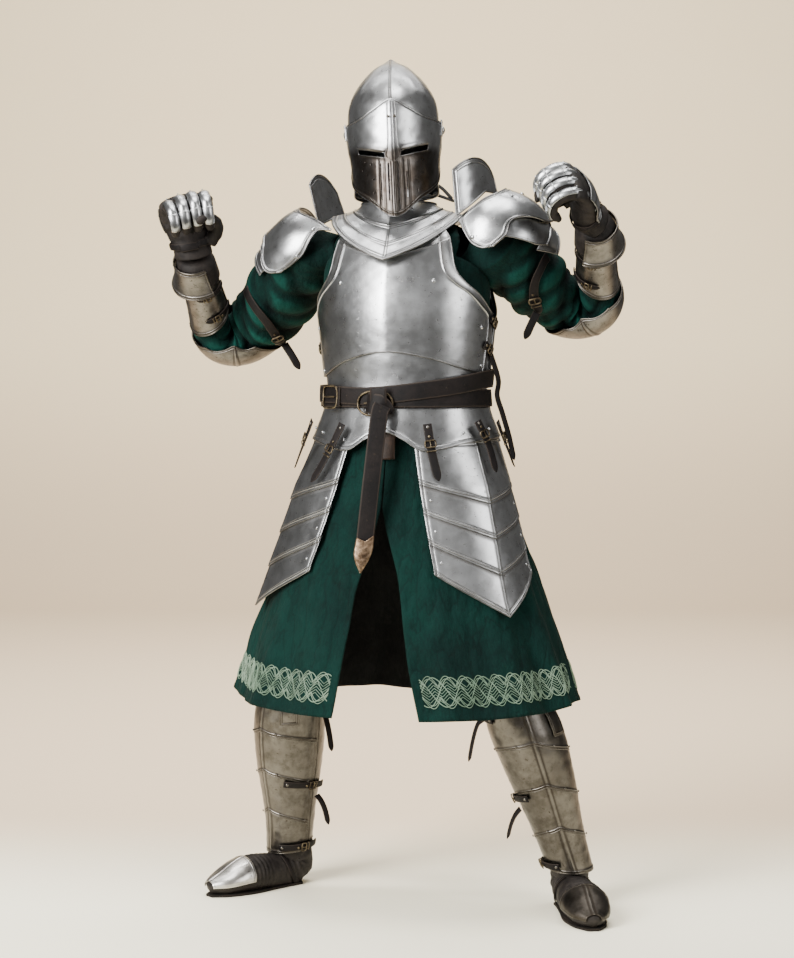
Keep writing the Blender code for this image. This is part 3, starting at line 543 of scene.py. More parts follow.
class Shader:
    """A material made of nodes, with one method for any node and a few for common ones."""

    def __init__(self, name):
        self.material = bpy.data.materials.new(name)
        self.material.use_nodes = True
        self.tree = self.material.node_tree
        self.surface = self.tree.nodes["Principled BSDF"]
        self.place = self.node("ShaderNodeTexCoord", "Object")

    def node(self, kind, output=0, settings=None, **inputs):
        node = self.tree.nodes.new(kind)
        for key, value in (settings or {}).items():
            setattr(node, key, value)
        for label, value in inputs.items():
            feed(self.tree, node.inputs[label.replace("_", " ")], value)
        return Number(self, node.outputs[output])

    def noise(self, scale, detail=3.0, roughness=0.55, place=None):
        return self.node(
            "ShaderNodeTexNoise", Vector=place or self.place, Scale=scale, Detail=detail, Roughness=roughness
        )

    def part(self, value, low, high, start=0.0, end=1.0):
        """start below low, end above high, and smooth between."""
        return self.node(
            "ShaderNodeMapRange", 0, {"interpolation_type": "SMOOTHSTEP"},
            Value=value, From_Min=low, From_Max=high, To_Min=start, To_Max=end,
        )

    def colours(self, factor, first, second):
        node = self.tree.nodes.new("ShaderNodeMix")
        node.data_type = "RGBA"
        feed(self.tree, node.inputs[0], factor)
        feed(self.tree, node.inputs[6], first)
        feed(self.tree, node.inputs[7], second)
        return Number(self, node.outputs[2])

    def stretched(self, x, y, z, source=None):
        return self.node(
            "ShaderNodeVectorMath", 0, {"operation": "MULTIPLY"}
        ).with_inputs(source or self.place, (x, y, z))

    def split(self, vector):
        node = self.tree.nodes.new("ShaderNodeSeparateXYZ")
        feed(self.tree, node.inputs[0], vector)
        return [Number(self, output) for output in node.outputs]

    def attribute(self, name):
        node = self.tree.nodes.new("ShaderNodeAttribute")
        node.attribute_name = name
        return Number(self, node.outputs["Fac"])

    def metres(self):
        """The sheet's own map, in metres."""
        return self.node("ShaderNodeUVMap", 0, {"uv_map": "UVMap"})

    def bump(self, height, distance, strength=1.0):
        return self.node("ShaderNodeBump", Height=height, Distance=distance, Strength=strength)

    def finish(self, **inputs):
        for label, value in inputs.items():
            feed(self.tree, self.surface.inputs[label.replace("_", " ")], value)
        return self.material


def with_inputs(self, *values):
    for socket, value in zip(self.socket.node.inputs, values):
        feed(self.shader.tree, socket, value)
    return self


Number.with_inputs = with_inputs


def tint(red, green, blue):
    """A linear colour from screen values of 0 to 255."""
    return tuple(
        (((c / 255 + 0.055) / 1.055) ** 2.4 if c > 10 else c / 255 / 12.92) for c in (red, green, blue)
    )


# %% [markdown]
# ### Steel
# Polished plate isn't even: it has cloudy patches, fine brushed lines and dark pits, and its raised
# lines are rubbed bright. Its grooves, a band a little in from its edges and the metal under an
# overlapping lame are darkened: painted shade, with some grime. The "tone" attribute, stored on the
# plates' points, says which is which.

# %% Steel, bright and aged
def steel(
    name, bright, dull, stain, stain_from, pit=0.62, rough=0.27, brown=None, rubbed=tint(200, 198, 194)
):
    s = Shader(name)
    cloud = s.noise(9.0, 4.0, 0.6)
    mottle = s.noise(38.0, 5.0, 0.65)
    specks = s.noise(230.0, 3.0, 0.6)
    brushed = s.noise(1.0, 3.0, 0.6, s.stretched(60.0, 60.0, 420.0))
    colour = s.colours(s.part(cloud * 0.4 + mottle * 0.6, 0.36, 0.64), dull, bright)
    stained = s.part(s.noise(13.0, 5.0, 0.66) * 0.5 + mottle * 0.5, stain_from, stain_from + 0.16)
    colour = s.colours(stained * 0.42, colour, stain)
    if brown is not None:
        colour = s.colours(brown(s) * s.part(mottle, 0.25, 0.65, 0.85, 1.0), colour, tint(60, 54, 49))
    tone = s.attribute("tone")
    colour = s.colours(s.part(tone, 0.0, 1.0, 0.0, 0.55), colour, rubbed)
    # Below 0 the tone darkens the metal: painted shade in grooves, beside edges and under lames, with some grime
    colour = s.colours(s.part(tone, -1.0, 0.0, 0.72, 0.0), colour, tint(46, 40, 34))
    pits = s.part(specks * 0.5 + s.noise(95.0, 3.0, 0.7) * 0.5, pit - 0.03, pit + 0.03)
    colour = s.colours(pits * 0.7, colour, tint(52, 44, 36))
    roughness = rough + mottle * 0.10 + stained * 0.05 + pits * 0.15 + s.part(tone, -1.0, 0.0, 0.2, 0.0)
    relief = mottle * 0.35 + brushed * 0.25 + specks * 0.12 - pits * 0.25
    return s.finish(
        Base_Color=colour, Metallic=1.0, Roughness=roughness, Normal=s.bump(relief, 0.0006, 0.55)
    )


def lower_face(s):
    """1 on the visor's lower half, round the breaths, where the metal has browned."""
    up = s.split(s.place)[2]
    return s.part(up + s.noise(24.0, 3.0) * 0.02, 0.182, 0.158)


BRIGHT = dict(
    bright=tint(178, 180, 182), dull=tint(156, 157, 158), stain=tint(122, 119, 114), stain_from=0.57
)
AGED = dict(
    bright=tint(126, 122, 117), dull=tint(90, 86, 81), stain=tint(78, 70, 62), stain_from=0.54,
    rubbed=tint(150, 146, 140)
)
steel_bright = steel("steel_bright", rough=0.24, **BRIGHT)
steel_aged = steel("steel_aged", rough=0.33, pit=0.60, **AGED)
steel_visor = steel("steel_visor", rough=0.25, brown=lower_face, **BRIGHT)


# %% [markdown]
# ### Brass, copper, cloth and leather
# The cloth is a close green wool: two crossed sets of threads, too fine to be made as strands, in
# the surface's bump. Leather has a pebbled grain and is paler where it is worn.

# %% Brass and copper
def warm_metal(name, bright, dark, rough):
    s = Shader(name)
    mottle = s.noise(60.0, 5.0, 0.62)
    colour = s.colours(s.part(mottle, 0.35, 0.65), dark, bright)
    colour = s.colours(s.part(s.noise(200.0, 2.0), 0.62, 0.70) * 0.6, colour, tint(40, 30, 22))
    return s.finish(
        Base_Color=colour, Metallic=1.0, Roughness=rough + mottle * 0.25, Normal=s.bump(mottle, 0.0004, 0.5)
    )


brass = warm_metal("brass", tint(108, 97, 78), tint(54, 46, 36), 0.34)
copper = warm_metal("copper", tint(158, 134, 110), tint(92, 74, 58), 0.28)


# %% Cloth
def wool(name, lit, deep):
    s = Shader(name)
    u, v, _ = s.split(s.metres())
    warp = (u * 4200.0).sine() * 0.5 + 0.5
    weft = (v * 4200.0).sine() * 0.5 + 0.5
    slub = s.noise(1.0, 3.0, 0.6, s.stretched(500.0, 60.0, 0.0, s.metres()))
    patches = s.noise(6.0, 4.0, 0.6)
    nap = s.noise(420.0, 2.0, 0.6)
    colour = s.colours(s.part(patches * 0.55 + slub * 0.25 + nap * 0.2, 0.36, 0.64), deep, lit)
    # Creases are the sharp valleys of two noises, folded at their middle value; their lines are painted dark as shade
    creases = (s.noise(1.0, 3.0, 0.5, s.stretched(20.0, 20.0, 7.0)) - 0.5).size()
    crumple = (s.noise(1.0, 4.0, 0.55, s.stretched(42.0, 42.0, 28.0)) - 0.5).size()
    colour = s.colours(s.part(creases, 0.0, 0.028, 0.32, 0.0), colour, tint(0, 7, 6))
    # The "tone" attribute is -1 in the bottom of a fold and above 0 on its top: painted shade in the bottoms, a
    # painted highlight on the tops
    folds = s.attribute("tone")
    colour = s.colours(s.part(folds, -1.0, 0.0, 0.92, 0.0), colour, tint(0, 5, 5))
    colour = s.colours(s.part(folds, 0.0, 1.0, 0.0, 0.8), colour, tint(16, 78, 68))
    relief = warp.highest(weft) * 0.6 + slub * 0.5 + nap * 0.6 + creases * 30.0 + crumple * 12.0
    return s.finish(
        Base_Color=colour, Roughness=0.9, Specular_IOR_Level=0.12, Normal=s.bump(relief, 0.0007, 0.7)
    )


wool_green = wool("wool_green", tint(4, 37, 32), tint(1, 20, 18))
# The coat's inside faces are near black
lining_black = wool("lining_black", tint(24, 25, 26), tint(11, 11, 12))
thread = wool("embroidery_thread", tint(140, 160, 140), tint(98, 122, 102))


# %% Leather
def leather(name, worn, deep, rough, grain=420.0, crease=0.0):
    s = Shader(name)
    pebbles = s.node("ShaderNodeTexVoronoi", "Distance", Vector=s.place, Scale=grain)
    patches = s.noise(14.0, 4.0, 0.6)
    folds = s.noise(70.0, 4.0, 0.65)
    colour = s.colours(s.part(patches * 0.6 + folds * 0.4, 0.36, 0.66), deep, worn)
    tone = s.attribute("tone")
    colour = s.colours(s.part(tone, 0.0, 1.0, 0.0, 0.35), colour, tint(84, 72, 62))
    colour = s.colours(s.part(tone, -1.0, 0.0, 0.8, 0.0), colour, tint(12, 10, 9))
    relief = pebbles * 0.45 + folds * (0.5 + crease)
    return s.finish(
        Base_Color=colour, Roughness=rough + patches * 0.2, Specular_IOR_Level=0.14,
        Normal=s.bump(relief, 0.0008, 0.6),
    )


belt_leather = leather("belt_leather", tint(24, 19, 18), tint(11, 9, 9), 0.52)
glove_leather = leather("glove_leather", tint(42, 37, 34), tint(18, 16, 15), 0.52, crease=0.8)
boot_leather = leather("boot_leather", tint(48, 44, 41), tint(24, 21, 20), 0.5, 300.0, 0.8)
sole_leather = leather("sole_leather", tint(40, 34, 29), tint(20, 18, 16), 0.7)
strap_brown = leather("strap_brown", tint(64, 47, 36), tint(34, 26, 21), 0.45)
# Rolled edges on steel take these darker copies of the plates' steel, as painted shade along the borders
steel_rim = steel("steel_rim", tint(132, 132, 132), tint(96, 95, 94), tint(78, 74, 69), 0.5)
aged_rim = steel("aged_rim", tint(100, 95, 89), tint(70, 66, 60), tint(58, 51, 44), 0.5)
# The right toe cap's steel, lighter than the left cap's: painted light on the same metal
steel_toe = steel("steel_toe", tint(212, 210, 206), tint(172, 168, 162), tint(120, 112, 102), 0.56)
steel_shin = steel(
    "steel_shin", tint(104, 100, 95), tint(72, 68, 63), tint(62, 54, 47), 0.52, rubbed=tint(130, 126, 120)
)
steel_dark = steel(
    "steel_dark", tint(84, 79, 73), tint(54, 50, 45), tint(46, 41, 36), 0.5, rough=0.36,
    rubbed=tint(130, 124, 116)
)
RIM_FINISH = {
    "steel_shin": "aged_rim", "steel_toe": "aged_rim", "steel_dark": "aged_rim", "steel": "steel_rim",
    "visor_steel": "steel_rim", "dull_steel": "aged_rim"
}
finishes = {
    "steel_rim": steel_rim, "aged_rim": aged_rim, "steel_toe": steel_toe,
    "steel_dark": steel_dark, "steel_shin": steel_shin,
    "steel": steel_bright, "dull_steel": steel_aged, "visor_steel": steel_visor, "brass": brass,
    "copper": copper, "strap": belt_leather, "brown_strap": strap_brown, "glove": glove_leather,
    "boot": boot_leather, "sole": sole_leather, "thread": thread, "cloth": wool_green, "lining": lining_black,
}
finish_slots = {
    "steel_rim": "steel", "aged_rim": "dull_steel", "steel_toe": "dull_steel",
    "steel_dark": "dull_steel", "steel_shin": "dull_steel",
    "steel": "steel", "dull_steel": "dull_steel", "visor_steel": "steel", "brass": "brass", "copper": "brass",
    "strap": "leather", "brown_strap": "leather", "glove": "leather", "boot": "leather", "sole": "leather",
    "thread": "cloth", "cloth": "cloth", "lining": "cloth",
}
print("finishes", len(finishes))


# %% [markdown]
# ## Plates as grids
# A forged plate could be one Solidify wall on a coarse grid, but its raised border lines are only
# a millimetre or two wide. So each plate is a grid whose rows crowd together beside those lines,
# at true distances from the plate's edges, and the lines are pushed up in the mesh itself.

# %% Rows that crowd beside an edge
CROWD = np.array([-1.7, -1.1, -0.7, -0.35, 0.0, 0.35, 0.7, 1.1, 1.7])
Line = namedtuple("Line", "edges distance width height")  # beside an edge
ALL_ROUND = ("top", "bottom", "left", "right")
Band = namedtuple("Band", "share width height")  # across the middle, at a share of the way


def near_rows(lines, edge, room):
    """Distances from the edge where rows are wanted: beside each line, and for the worn rim where
    the plate has room for it."""
    rows = {0.0, 0.0016, 0.0036, 0.0070} if room > 0.03 else {0.0}
    for line in lines:
        if edge in line.edges:
            rows |= {round(line.distance + line.width * offset, 5) for offset in CROWD}
    rows = sorted(row for row in rows if row >= 0)
    kept = [rows[0]]
    for row in rows[1:]:
        if row - kept[-1] > 0.0002:
            kept.append(row)
    return np.array(kept)


def row_places(near, far, inner, length):
    """Shares from 0 to 1 along each length: near rows, the inner shares of the rest, and far rows."""
    length = np.asarray(length, float)[..., None]
    squeeze = np.minimum(1.0, 0.9 * length / (near[-1] + far[-1] + 1e-9))
    low, high = near * squeeze, length - far[::-1] * squeeze
    middle = mix(low[..., -1:], high[..., :1], inner)
    return np.concatenate([low, middle, high], axis=-1) / length


def inner_shares(count, lines, length):
    """Even shares between 0 and 1, and a crowd of them beside each line across the middle."""
    shares = set(np.linspace(0, 1, count + 1)[1:-1].round(5))
    for line in lines:
        crowd = line.share + CROWD * line.width / length
        shares = {share for share in shares if not crowd[0] < share < crowd[-1]}
        shares |= set(crowd.round(5))
    return np.array(sorted(share for share in shares if 0.004 < share < 0.996))


# %% A mesh from a grid
def linked(name, mesh):
    """A new object in the scene that shows the mesh."""
    obj = bpy.data.objects.new(name, mesh)
    bpy.context.scene.collection.objects.link(obj)
    return obj


def grid_object(name, points, closed=False, cap=None, tone=None):
    """A sheet of quads on a grid of points, with a UV map in metres. closed joins its side edges,
    and cap closes its last row on a point. tone lightens the finish above 0 and darkens it below:
    worn edges above 0, and painted shade with some grime below on steel; on cloth folds, a painted
    highlight above 0 and painted shade below."""
    down, across = points.shape[:2]
    flat_points = points.reshape(-1, 3)
    i, j = np.meshgrid(np.arange(down - 1), np.arange(across if closed else across - 1), indexing="ij")
    k = (j + 1) % across
    quads = np.stack([i * across + j, (i + 1) * across + j, (i + 1) * across + k, i * across + k], axis=-1)
    quads = quads.reshape(-1, 4)
    corners = [tuple(quad) for quad in quads.tolist()]
    if cap is not None:
        flat_points = np.vstack([flat_points, cap])
        last = (down - 1) * across
        tip = len(flat_points) - 1
        corners += [(last + n, tip, last + (n + 1) % across) for n in range(across)]
    mesh = bpy.data.meshes.new(name)
    mesh.from_pydata(flat_points.tolist(), [], corners)
    steps_across = np.linalg.norm(np.diff(points, axis=1), axis=-1)
    steps_down = np.linalg.norm(np.diff(points, axis=0), axis=-1)
    along = np.concatenate([np.zeros((down, 1)), np.cumsum(steps_across, axis=1)], axis=1)
    fall = np.concatenate([np.zeros((1, across)), np.cumsum(steps_down, axis=0)], axis=0)
    places = np.stack(
        [along.mean(axis=0)[None, :] + 0 * along, fall.mean(axis=1)[:, None] + 0 * fall], axis=-1
    )
    places = np.vstack([places.reshape(-1, 2), np.zeros((len(flat_points) - down * across, 2))])
    uv = mesh.uv_layers.new(name="UVMap")
    order = np.empty(len(mesh.loops), np.int32)
    mesh.loops.foreach_get("vertex_index", order)
    uv.data.foreach_set("uv", places[order].astype(np.float32).ravel())
    if tone is not None:
        shown = np.zeros(len(flat_points), np.float32)
        shown[: down * across] = tone.ravel()
        mesh.attributes.new("tone", "FLOAT", "POINT").data.foreach_set("value", shown)
    mesh.shade_smooth()
    obj = linked(name, mesh)
    return obj


def weld(obj, distance=0.00003):
    """Merges points that fall together, as at a dome's tip or where a closed plate meets itself."""
    shape = bmesh.new()
    shape.from_mesh(obj.data)
    bmesh.ops.remove_doubles(shape, verts=shape.verts, dist=distance)
    shape.to_mesh(obj.data)
    shape.free()


def face_away(obj, core):
    """Turns the faces so that they look away from the core, on the whole."""
    mesh = obj.data
    count = len(mesh.polygons)
    normals, centres, areas = np.empty(count * 3), np.empty(count * 3), np.empty(count)
    mesh.polygons.foreach_get("normal", normals)
    mesh.polygons.foreach_get("center", centres)
    mesh.polygons.foreach_get("area", areas)
    away = np.sum(normals.reshape(-1, 3) * (centres.reshape(-1, 3) - core), axis=1)
    if np.sum(away * areas) < 0:
        mesh.flip_normals()


def baked(obj):
    """The object with its modifiers made into its mesh."""
    graph = bpy.context.evaluated_depsgraph_get()
    mesh = bpy.data.meshes.new_from_object(obj.evaluated_get(graph), depsgraph=graph)
    old = obj.data
    obj.modifiers.clear()
    obj.data = mesh
    mesh.name = obj.name
    if old.users == 0 and isinstance(old, bpy.types.Mesh):
        bpy.data.meshes.remove(old)
    return obj


def walled(obj, thickness, materials):
    """Gives a sheet its wall, behind its outer face. A second material goes on the wall's back."""
    for material in materials:
        obj.data.materials.append(material)
    wall = obj.modifiers.new("wall", "SOLIDIFY")
    wall.thickness = thickness
    wall.offset = -1.0
    if len(materials) > 1:
        wall.material_offset = 1
    return baked(obj)


# %% [markdown]
# ## Where each piece goes
# Each piece rides on a body of the CAD model, the suit or the visor, and stands for one CAD node
# or more. One function does that for all of them.

# %% Finishing a piece
def finish(obj, nodes, slot, body="suit"):
    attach(obj, body)
    if nodes:
        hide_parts(*nodes)
    return obj


def to_world(heights):
    """From heights above the floor to heights above the shoulders, where the origin is."""
    return np.asarray(heights) + np.array([0.0, 0.0, FLOOR])


SLANTS = np.array(
    [(1, 0.3, 0.6), (-0.4, 1, 0.5), (0.5, -0.7, 1), (0.9, 0.8, -0.5), (-0.8, 0.2, 1.1), (0.2, 1.2, -0.9)]
)


def hammered(points, depth, size=0.055):
    """Shallow uneven hollows, as a planished plate has: a sum of slanted waves."""
    total = 0
    for number, slant in enumerate(SLANTS):
        total = total + np.sin(points @ slant * (math.tau / size) * (1 + 0.23 * number) + 1.7 * number)
    return depth * total / 3


Rim = namedtuple("Rim", "points radius finish body closed")
Rivet = namedtuple("Rivet", "place facing size finish body")
rims, rivets = [], []  # each is a path or a place: Geometry Nodes make the metal, further on


def wire(points, radius, finish_name, body="suit", closed=False):
    rims.append(
        Rim(
            np.array([tuple(point) for point in points]), radius, RIM_FINISH.get(finish_name, finish_name),
            body, closed
        )
    )


def rivet(place, facing, size=0.0042, finish_name="steel", body="suit"):
    rivets.append(Rivet(tuple(place), tuple(facing), size, finish_name, body))


# %% A plate on a form
class Plate:
    """left and right give the side edges' u from 0 at its top to 1 at its bottom; top and bottom
    give its upper and lower edges' v from 0 at its left to 1 at its right."""

    def __init__(self, form, left, right, top, bottom, lift=flat(0.0)):
        self.form, self.left, self.right = form, left, right
        self.top, self.bottom = top, bottom
        self.lift = lift if lift.__code__.co_argcount == 2 else lambda k, t: lift(k)
        self.share = np.linspace(0, 1, 41)
        grid = self.point(self.share[None, :], self.share[:, None])
        self.widths = np.linalg.norm(np.diff(grid, axis=1), axis=-1).sum(axis=1)
        self.lengths = np.linalg.norm(np.diff(grid, axis=0), axis=-1).sum(axis=0)

    def uv(self, k, t):
        k, t = np.broadcast_arrays(np.asarray(k, float), np.asarray(t, float))
        return mix(self.left(t), self.right(t), k), mix(self.top(k), self.bottom(k), t)

    def point(self, k, t, lift=0.0):
        u, v = self.uv(k, t)
        return self.form.lifted(u, v, self.lift(k, t) + lift)

    def facing(self, k, t):
        return self.form.normal(*self.uv(k, t))

    def width(self, t):
        return np.interp(t, self.share, self.widths)

    def length(self, k):
        return np.interp(k, self.share, self.lengths)

    def grid(self, across, down, lines, ridges, bands):
        """Shares k and t of a grid whose rows and columns crowd beside the lines."""
        long, wide = self.lengths.mean(), self.widths.mean()
        top, bottom = near_rows(lines, "top", long), near_rows(lines, "bottom", long)
        left, right = near_rows(lines, "left", wide), near_rows(lines, "right", wide)
        inner_t = inner_shares(down, bands, self.lengths.mean())
        inner_k = inner_shares(across, ridges, self.widths.mean())
        t = row_places(top, bottom, inner_t, self.lengths.mean())
        k = row_places(left, right, inner_k, self.width(t))
        rows = row_places(top, bottom, inner_t, self.length(k).ravel()).reshape(*k.shape, -1)
        return k, np.array([rows[i, :, i] for i in range(len(t))])


def line_relief(distance, line):
    """The height and the tone of a raised or sunk line this far off. A sunk line, and the metal beside a ridge, are
    painted dark as shade, with some grime.
    """
    crest = bell(distance, line.width)
    beside = bell(np.abs(distance) - 2.2 * line.width, line.width)
    if line.height < 0:
        return line.height * crest, -1.2 * crest
    return line.height * crest, 0.5 * crest - 1.1 * beside


def make_plate(name, plate, cells, finish_name, lines=(), ridges=(), bands=(), rolls=(), roll=0.0020,
               wall=0.0016, nodes=None, body="suit", dents=0.00022, extra=None, welded=False, worn=0.15):
    """The plate as a walled mesh, with raised lines beside its edges and a rolled wire on some."""
    k, t = plate.grid(*cells, lines, ridges, bands)
    length, width = plate.length(k), plate.width(t)
    away = {"top": t * length, "bottom": (1 - t) * length, "left": k * width, "right": (1 - k) * width}
    marks = [
        (np.minimum.reduce([away[edge] for edge in line.edges]) - line.distance, line) for line in lines
    ]
    marks += [((k - line.share) * width, line) for line in ridges]
    marks += [((t - line.share) * length, line) for line in bands]
    nearest = np.minimum.reduce(list(away.values()))
    # The tone rubs the very edge bright, and paints a band a few millimetres in dark as shade, with some grime
    relief, tone = 0 * k, worn * bell(nearest, 0.0012) - 0.55 * bell(nearest - 0.0036, 0.0018)
    for distance, line in marks:
        height, shade = line_relief(distance, line)
        relief, tone = relief + height, tone + shade
    if extra is not None:
        height, shade = extra(k, t)
        relief, tone = relief + height, tone + shade
    u, v = plate.uv(k, t)
    base = plate.form.lifted(u, v, plate.lift(k, t) + relief)
    facing = plate.form.normal(u, v)
    points = to_world(base + facing * hammered(base, dents)[..., None])
    obj = grid_object(name, points, tone=np.clip(tone, -1, 1))
    if welded:
        weld(obj)
    face_away(obj, to_world(plate.form.core(np.asarray(v.mean()))))
    middle = points - 0.5 * wall * facing
    edges = {"top": middle[0], "bottom": middle[-1], "left": middle[:, 0], "right": middle[:, -1]}
    for edge in rolls:
        wire(edges[edge], roll, finish_name, body)
    walled(obj, wall, [finishes[finish_name]])
    finish(obj, [name] if nodes is None else nodes, finish_slots[finish_name], body)
    return obj


# %% [markdown]
# ## Tubes and rivets by Geometry Nodes
# Rolled edges, buckle frames and wires are all a round section carried along a path, and rivets
# are one small head set again and again. Geometry Nodes do both: paths or points go in with a
# radius or a size stored on each point, and plain mesh comes out.

# %% A small way to write node trees
class Tree:
    def __init__(self, name, sockets):
        self.tree = bpy.data.node_groups.new(name, "GeometryNodeTree")
        self.ids = {}
        for label, kind, default in [("Geometry", "NodeSocketGeometry", None), *sockets]:
            socket = self.tree.interface.new_socket(label, in_out="INPUT", socket_type=kind)
            if default is not None:
                socket.default_value = default
            self.ids[label] = socket.identifier
        self.tree.interface.new_socket("Geometry", in_out="OUTPUT", socket_type="NodeSocketGeometry")
        self.source = self.tree.nodes.new("NodeGroupInput")
        self.target = self.tree.nodes.new("NodeGroupOutput")

    def given(self, label):
        return self.source.outputs[label]

    def node(self, kind, settings=None, **inputs):
        node = self.tree.nodes.new(kind)
        for key, value in (settings or {}).items():
            setattr(node, key, value)
        for label, value in inputs.items():
            socket = node.inputs[label.replace("_", " ")]
            if isinstance(value, bpy.types.NodeSocket):
                self.tree.links.new(value, socket)
            else:
                socket.default_value = value
        return node.outputs

    def end(self, geometry):
        self.tree.links.new(geometry, self.target.inputs[0])

    def run(self, obj, **values):
        """Runs the tree on an object with these inputs, and keeps the result as plain mesh."""
        modifier = obj.modifiers.new(self.tree.name, "NODES")
        modifier.node_group = self.tree
        for label, value in values.items():
            modifier[self.ids[label.replace("_", " ")]] = value
        return baked(obj)


def named(tree, name, kind="FLOAT"):
    return tree.node("GeometryNodeInputNamedAttribute", {"data_type": kind}, Name=name)[0]


# %% The tube tree
tube_tree = Tree(
    "tube_along_path", [("Sides", "NodeSocketInt", 8), ("Material", "NodeSocketMaterial", None)]
)
curves = tube_tree.node("GeometryNodeMeshToCurve", Mesh=tube_tree.given("Geometry"))["Curve"]
section = tube_tree.node(
    "GeometryNodeCurvePrimitiveCircle", Resolution=tube_tree.given("Sides"), Radius=1.0
)["Curve"]
sized = tube_tree.node(
    "GeometryNodeSetCurveRadius", Curve=curves, Radius=named(tube_tree, "radius")
)["Curve"]
TUBE_SETTINGS = dict(Curve=sized, Profile_Curve=section, Fill_Caps=True)
if "Scale" in bpy.data.node_groups["tube_along_path"].nodes.new("GeometryNodeCurveToMesh").inputs:
    TUBE_SETTINGS["Scale"] = named(tube_tree, "radius")
tubes = tube_tree.node("GeometryNodeCurveToMesh", **TUBE_SETTINGS)["Mesh"]
smooth_tubes = tube_tree.node("GeometryNodeSetShadeSmooth", Geometry=tubes)["Geometry"]
tube_tree.end(
    tube_tree.node(
        "GeometryNodeSetMaterial", Geometry=smooth_tubes, Material=tube_tree.given("Material")
    )["Geometry"]
)

# %% The rivet tree
rivet_tree = Tree(
    "rivet_heads", [("Flatness", "NodeSocketFloat", 0.5), ("Material", "NodeSocketMaterial", None)]
)
head = rivet_tree.node("GeometryNodeMeshUVSphere", Segments=12, Rings=7, Radius=1.0)["Mesh"]
facing = rivet_tree.node(
    "FunctionNodeAlignRotationToVector", {"axis": "Z"}, Vector=named(rivet_tree, "facing", "FLOAT_VECTOR")
)["Rotation"]
size = named(rivet_tree, "size")
height = rivet_tree.node("ShaderNodeMath", {"operation": "MULTIPLY"})
rivet_tree.tree.links.new(size, height[0].node.inputs[0])
rivet_tree.tree.links.new(rivet_tree.given("Flatness"), height[0].node.inputs[1])
scale = rivet_tree.node("ShaderNodeCombineXYZ", X=size, Y=size, Z=height[0])["Vector"]
heads = rivet_tree.node(
    "GeometryNodeInstanceOnPoints", Points=rivet_tree.given("Geometry"), Instance=head, Rotation=facing, Scale=scale
)["Instances"]
real_heads = rivet_tree.node("GeometryNodeRealizeInstances", Geometry=heads)["Geometry"]
smooth_heads = rivet_tree.node("GeometryNodeSetShadeSmooth", Geometry=real_heads)["Geometry"]
rivet_tree.end(
    rivet_tree.node(
        "GeometryNodeSetMaterial", Geometry=smooth_heads, Material=rivet_tree.given("Material")
    )["Geometry"]
)

# %% Points and paths that the trees read
def carrier(name, points, edges, **attributes):
    """A mesh of bare points and edges with attributes on its points."""
    mesh = bpy.data.meshes.new(name)
    mesh.from_pydata([tuple(point) for point in points], edges, [])
    for label, values in attributes.items():
        values = np.asarray(values, np.float32)
        kind, field = ("FLOAT", "value") if values.ndim == 1 else ("FLOAT_VECTOR", "vector")
        mesh.attributes.new(label, kind, "POINT").data.foreach_set(field, values.ravel())
    obj = linked(name, mesh)
    return obj


def tubes_from(name, rows, material, sides=8):
    points, edges, radii = [], [], []
    for row in rows:
        first = len(points)
        points += list(row.points)
        radii += [row.radius] * len(row.points)
        edges += [(first + n, first + n + 1) for n in range(len(row.points) - 1)]
        if row.closed:
            edges.append((len(points) - 1, first))
    return tube_tree.run(carrier(name, points, edges, radius=radii), Sides=sides, Material=material)


def heads_from(name, rows, material, flatness=0.55):
    points = carrier(
        name, [row.place for row in rows], [], facing=[
            row.facing for row in rows
        ], size=[row.size for row in rows]
    )
    return rivet_tree.run(points, Flatness=flatness, Material=material)


# %% [markdown]
# ## The helm
# The skull is a pointed bascinet, raised from one sheet with a keel down its front. The visor is
# beaked and hangs on two pivots. Sights and breaths are cut right through, as on the real thing,
# because a dark line painted on a bright face shows at once.

# %% The skull
skull_rise = soft_knots(
    (0, 1.684), (15, 1.668), (30, 1.648), (45, 1.630), (60, 1.590), (75, 1.530), (90, 1.510), (180, 1.504)
)
skull = Plate(
    helm_form, flat(-180.0), flat(180.0), flat(1.7996), lambda k: skull_rise(np.abs(k * 360 - 180))
)
make_plate(
    "helm_skull", skull, (120, 60), "steel", welded=True, ridges=[Band(0.5, 0.0016, 0.0011)],
    lines=[Line(("bottom",), 0.006, 0.0011, 0.0009)], rolls=("bottom",), roll=0.0015, worn=0.25,
)

# %% The visor's plate
visor_brow = soft_knots(
    (0.0, 1.660), (0.14, 1.657), (0.30, 1.664), (0.40, 1.680), (0.5, 1.697), (0.60, 1.680),
    (0.70, 1.664), (0.86, 1.657), (1.0, 1.660),
)
visor_chin = soft_knots(
    (0.0, 1.560), (0.12, 1.528), (0.32, 1.492), (0.5, 1.455), (0.68, 1.492), (0.88, 1.528), (1.0, 1.560)
)
visor_ear = knots((0.0, 105.0), (0.34, 104.0), (0.5, 97.0), (1.0, 96.0))
visor = Plate(helm_form, lambda t: -visor_ear(t), visor_ear, visor_brow, visor_chin, flat(VISOR_LIFT))
# from and to in degrees, the heights there, and the gap
Sight = namedtuple("Sight", "start end first last wide")
SIGHTS = (Sight(-47.5, -9.2, 1.5965, 1.5825, 0.0115), Sight(7.6, 47.6, 1.5845, 1.6000, 0.0125))
FLUTES = (-19.0, -11.0, -2.6, 2.6, 11.5, 20.0)


def sight_level(sight, u):
    return mix(sight.first, sight.last, np.clip((u - sight.start) / (sight.end - sight.start), -0.2, 1.2))


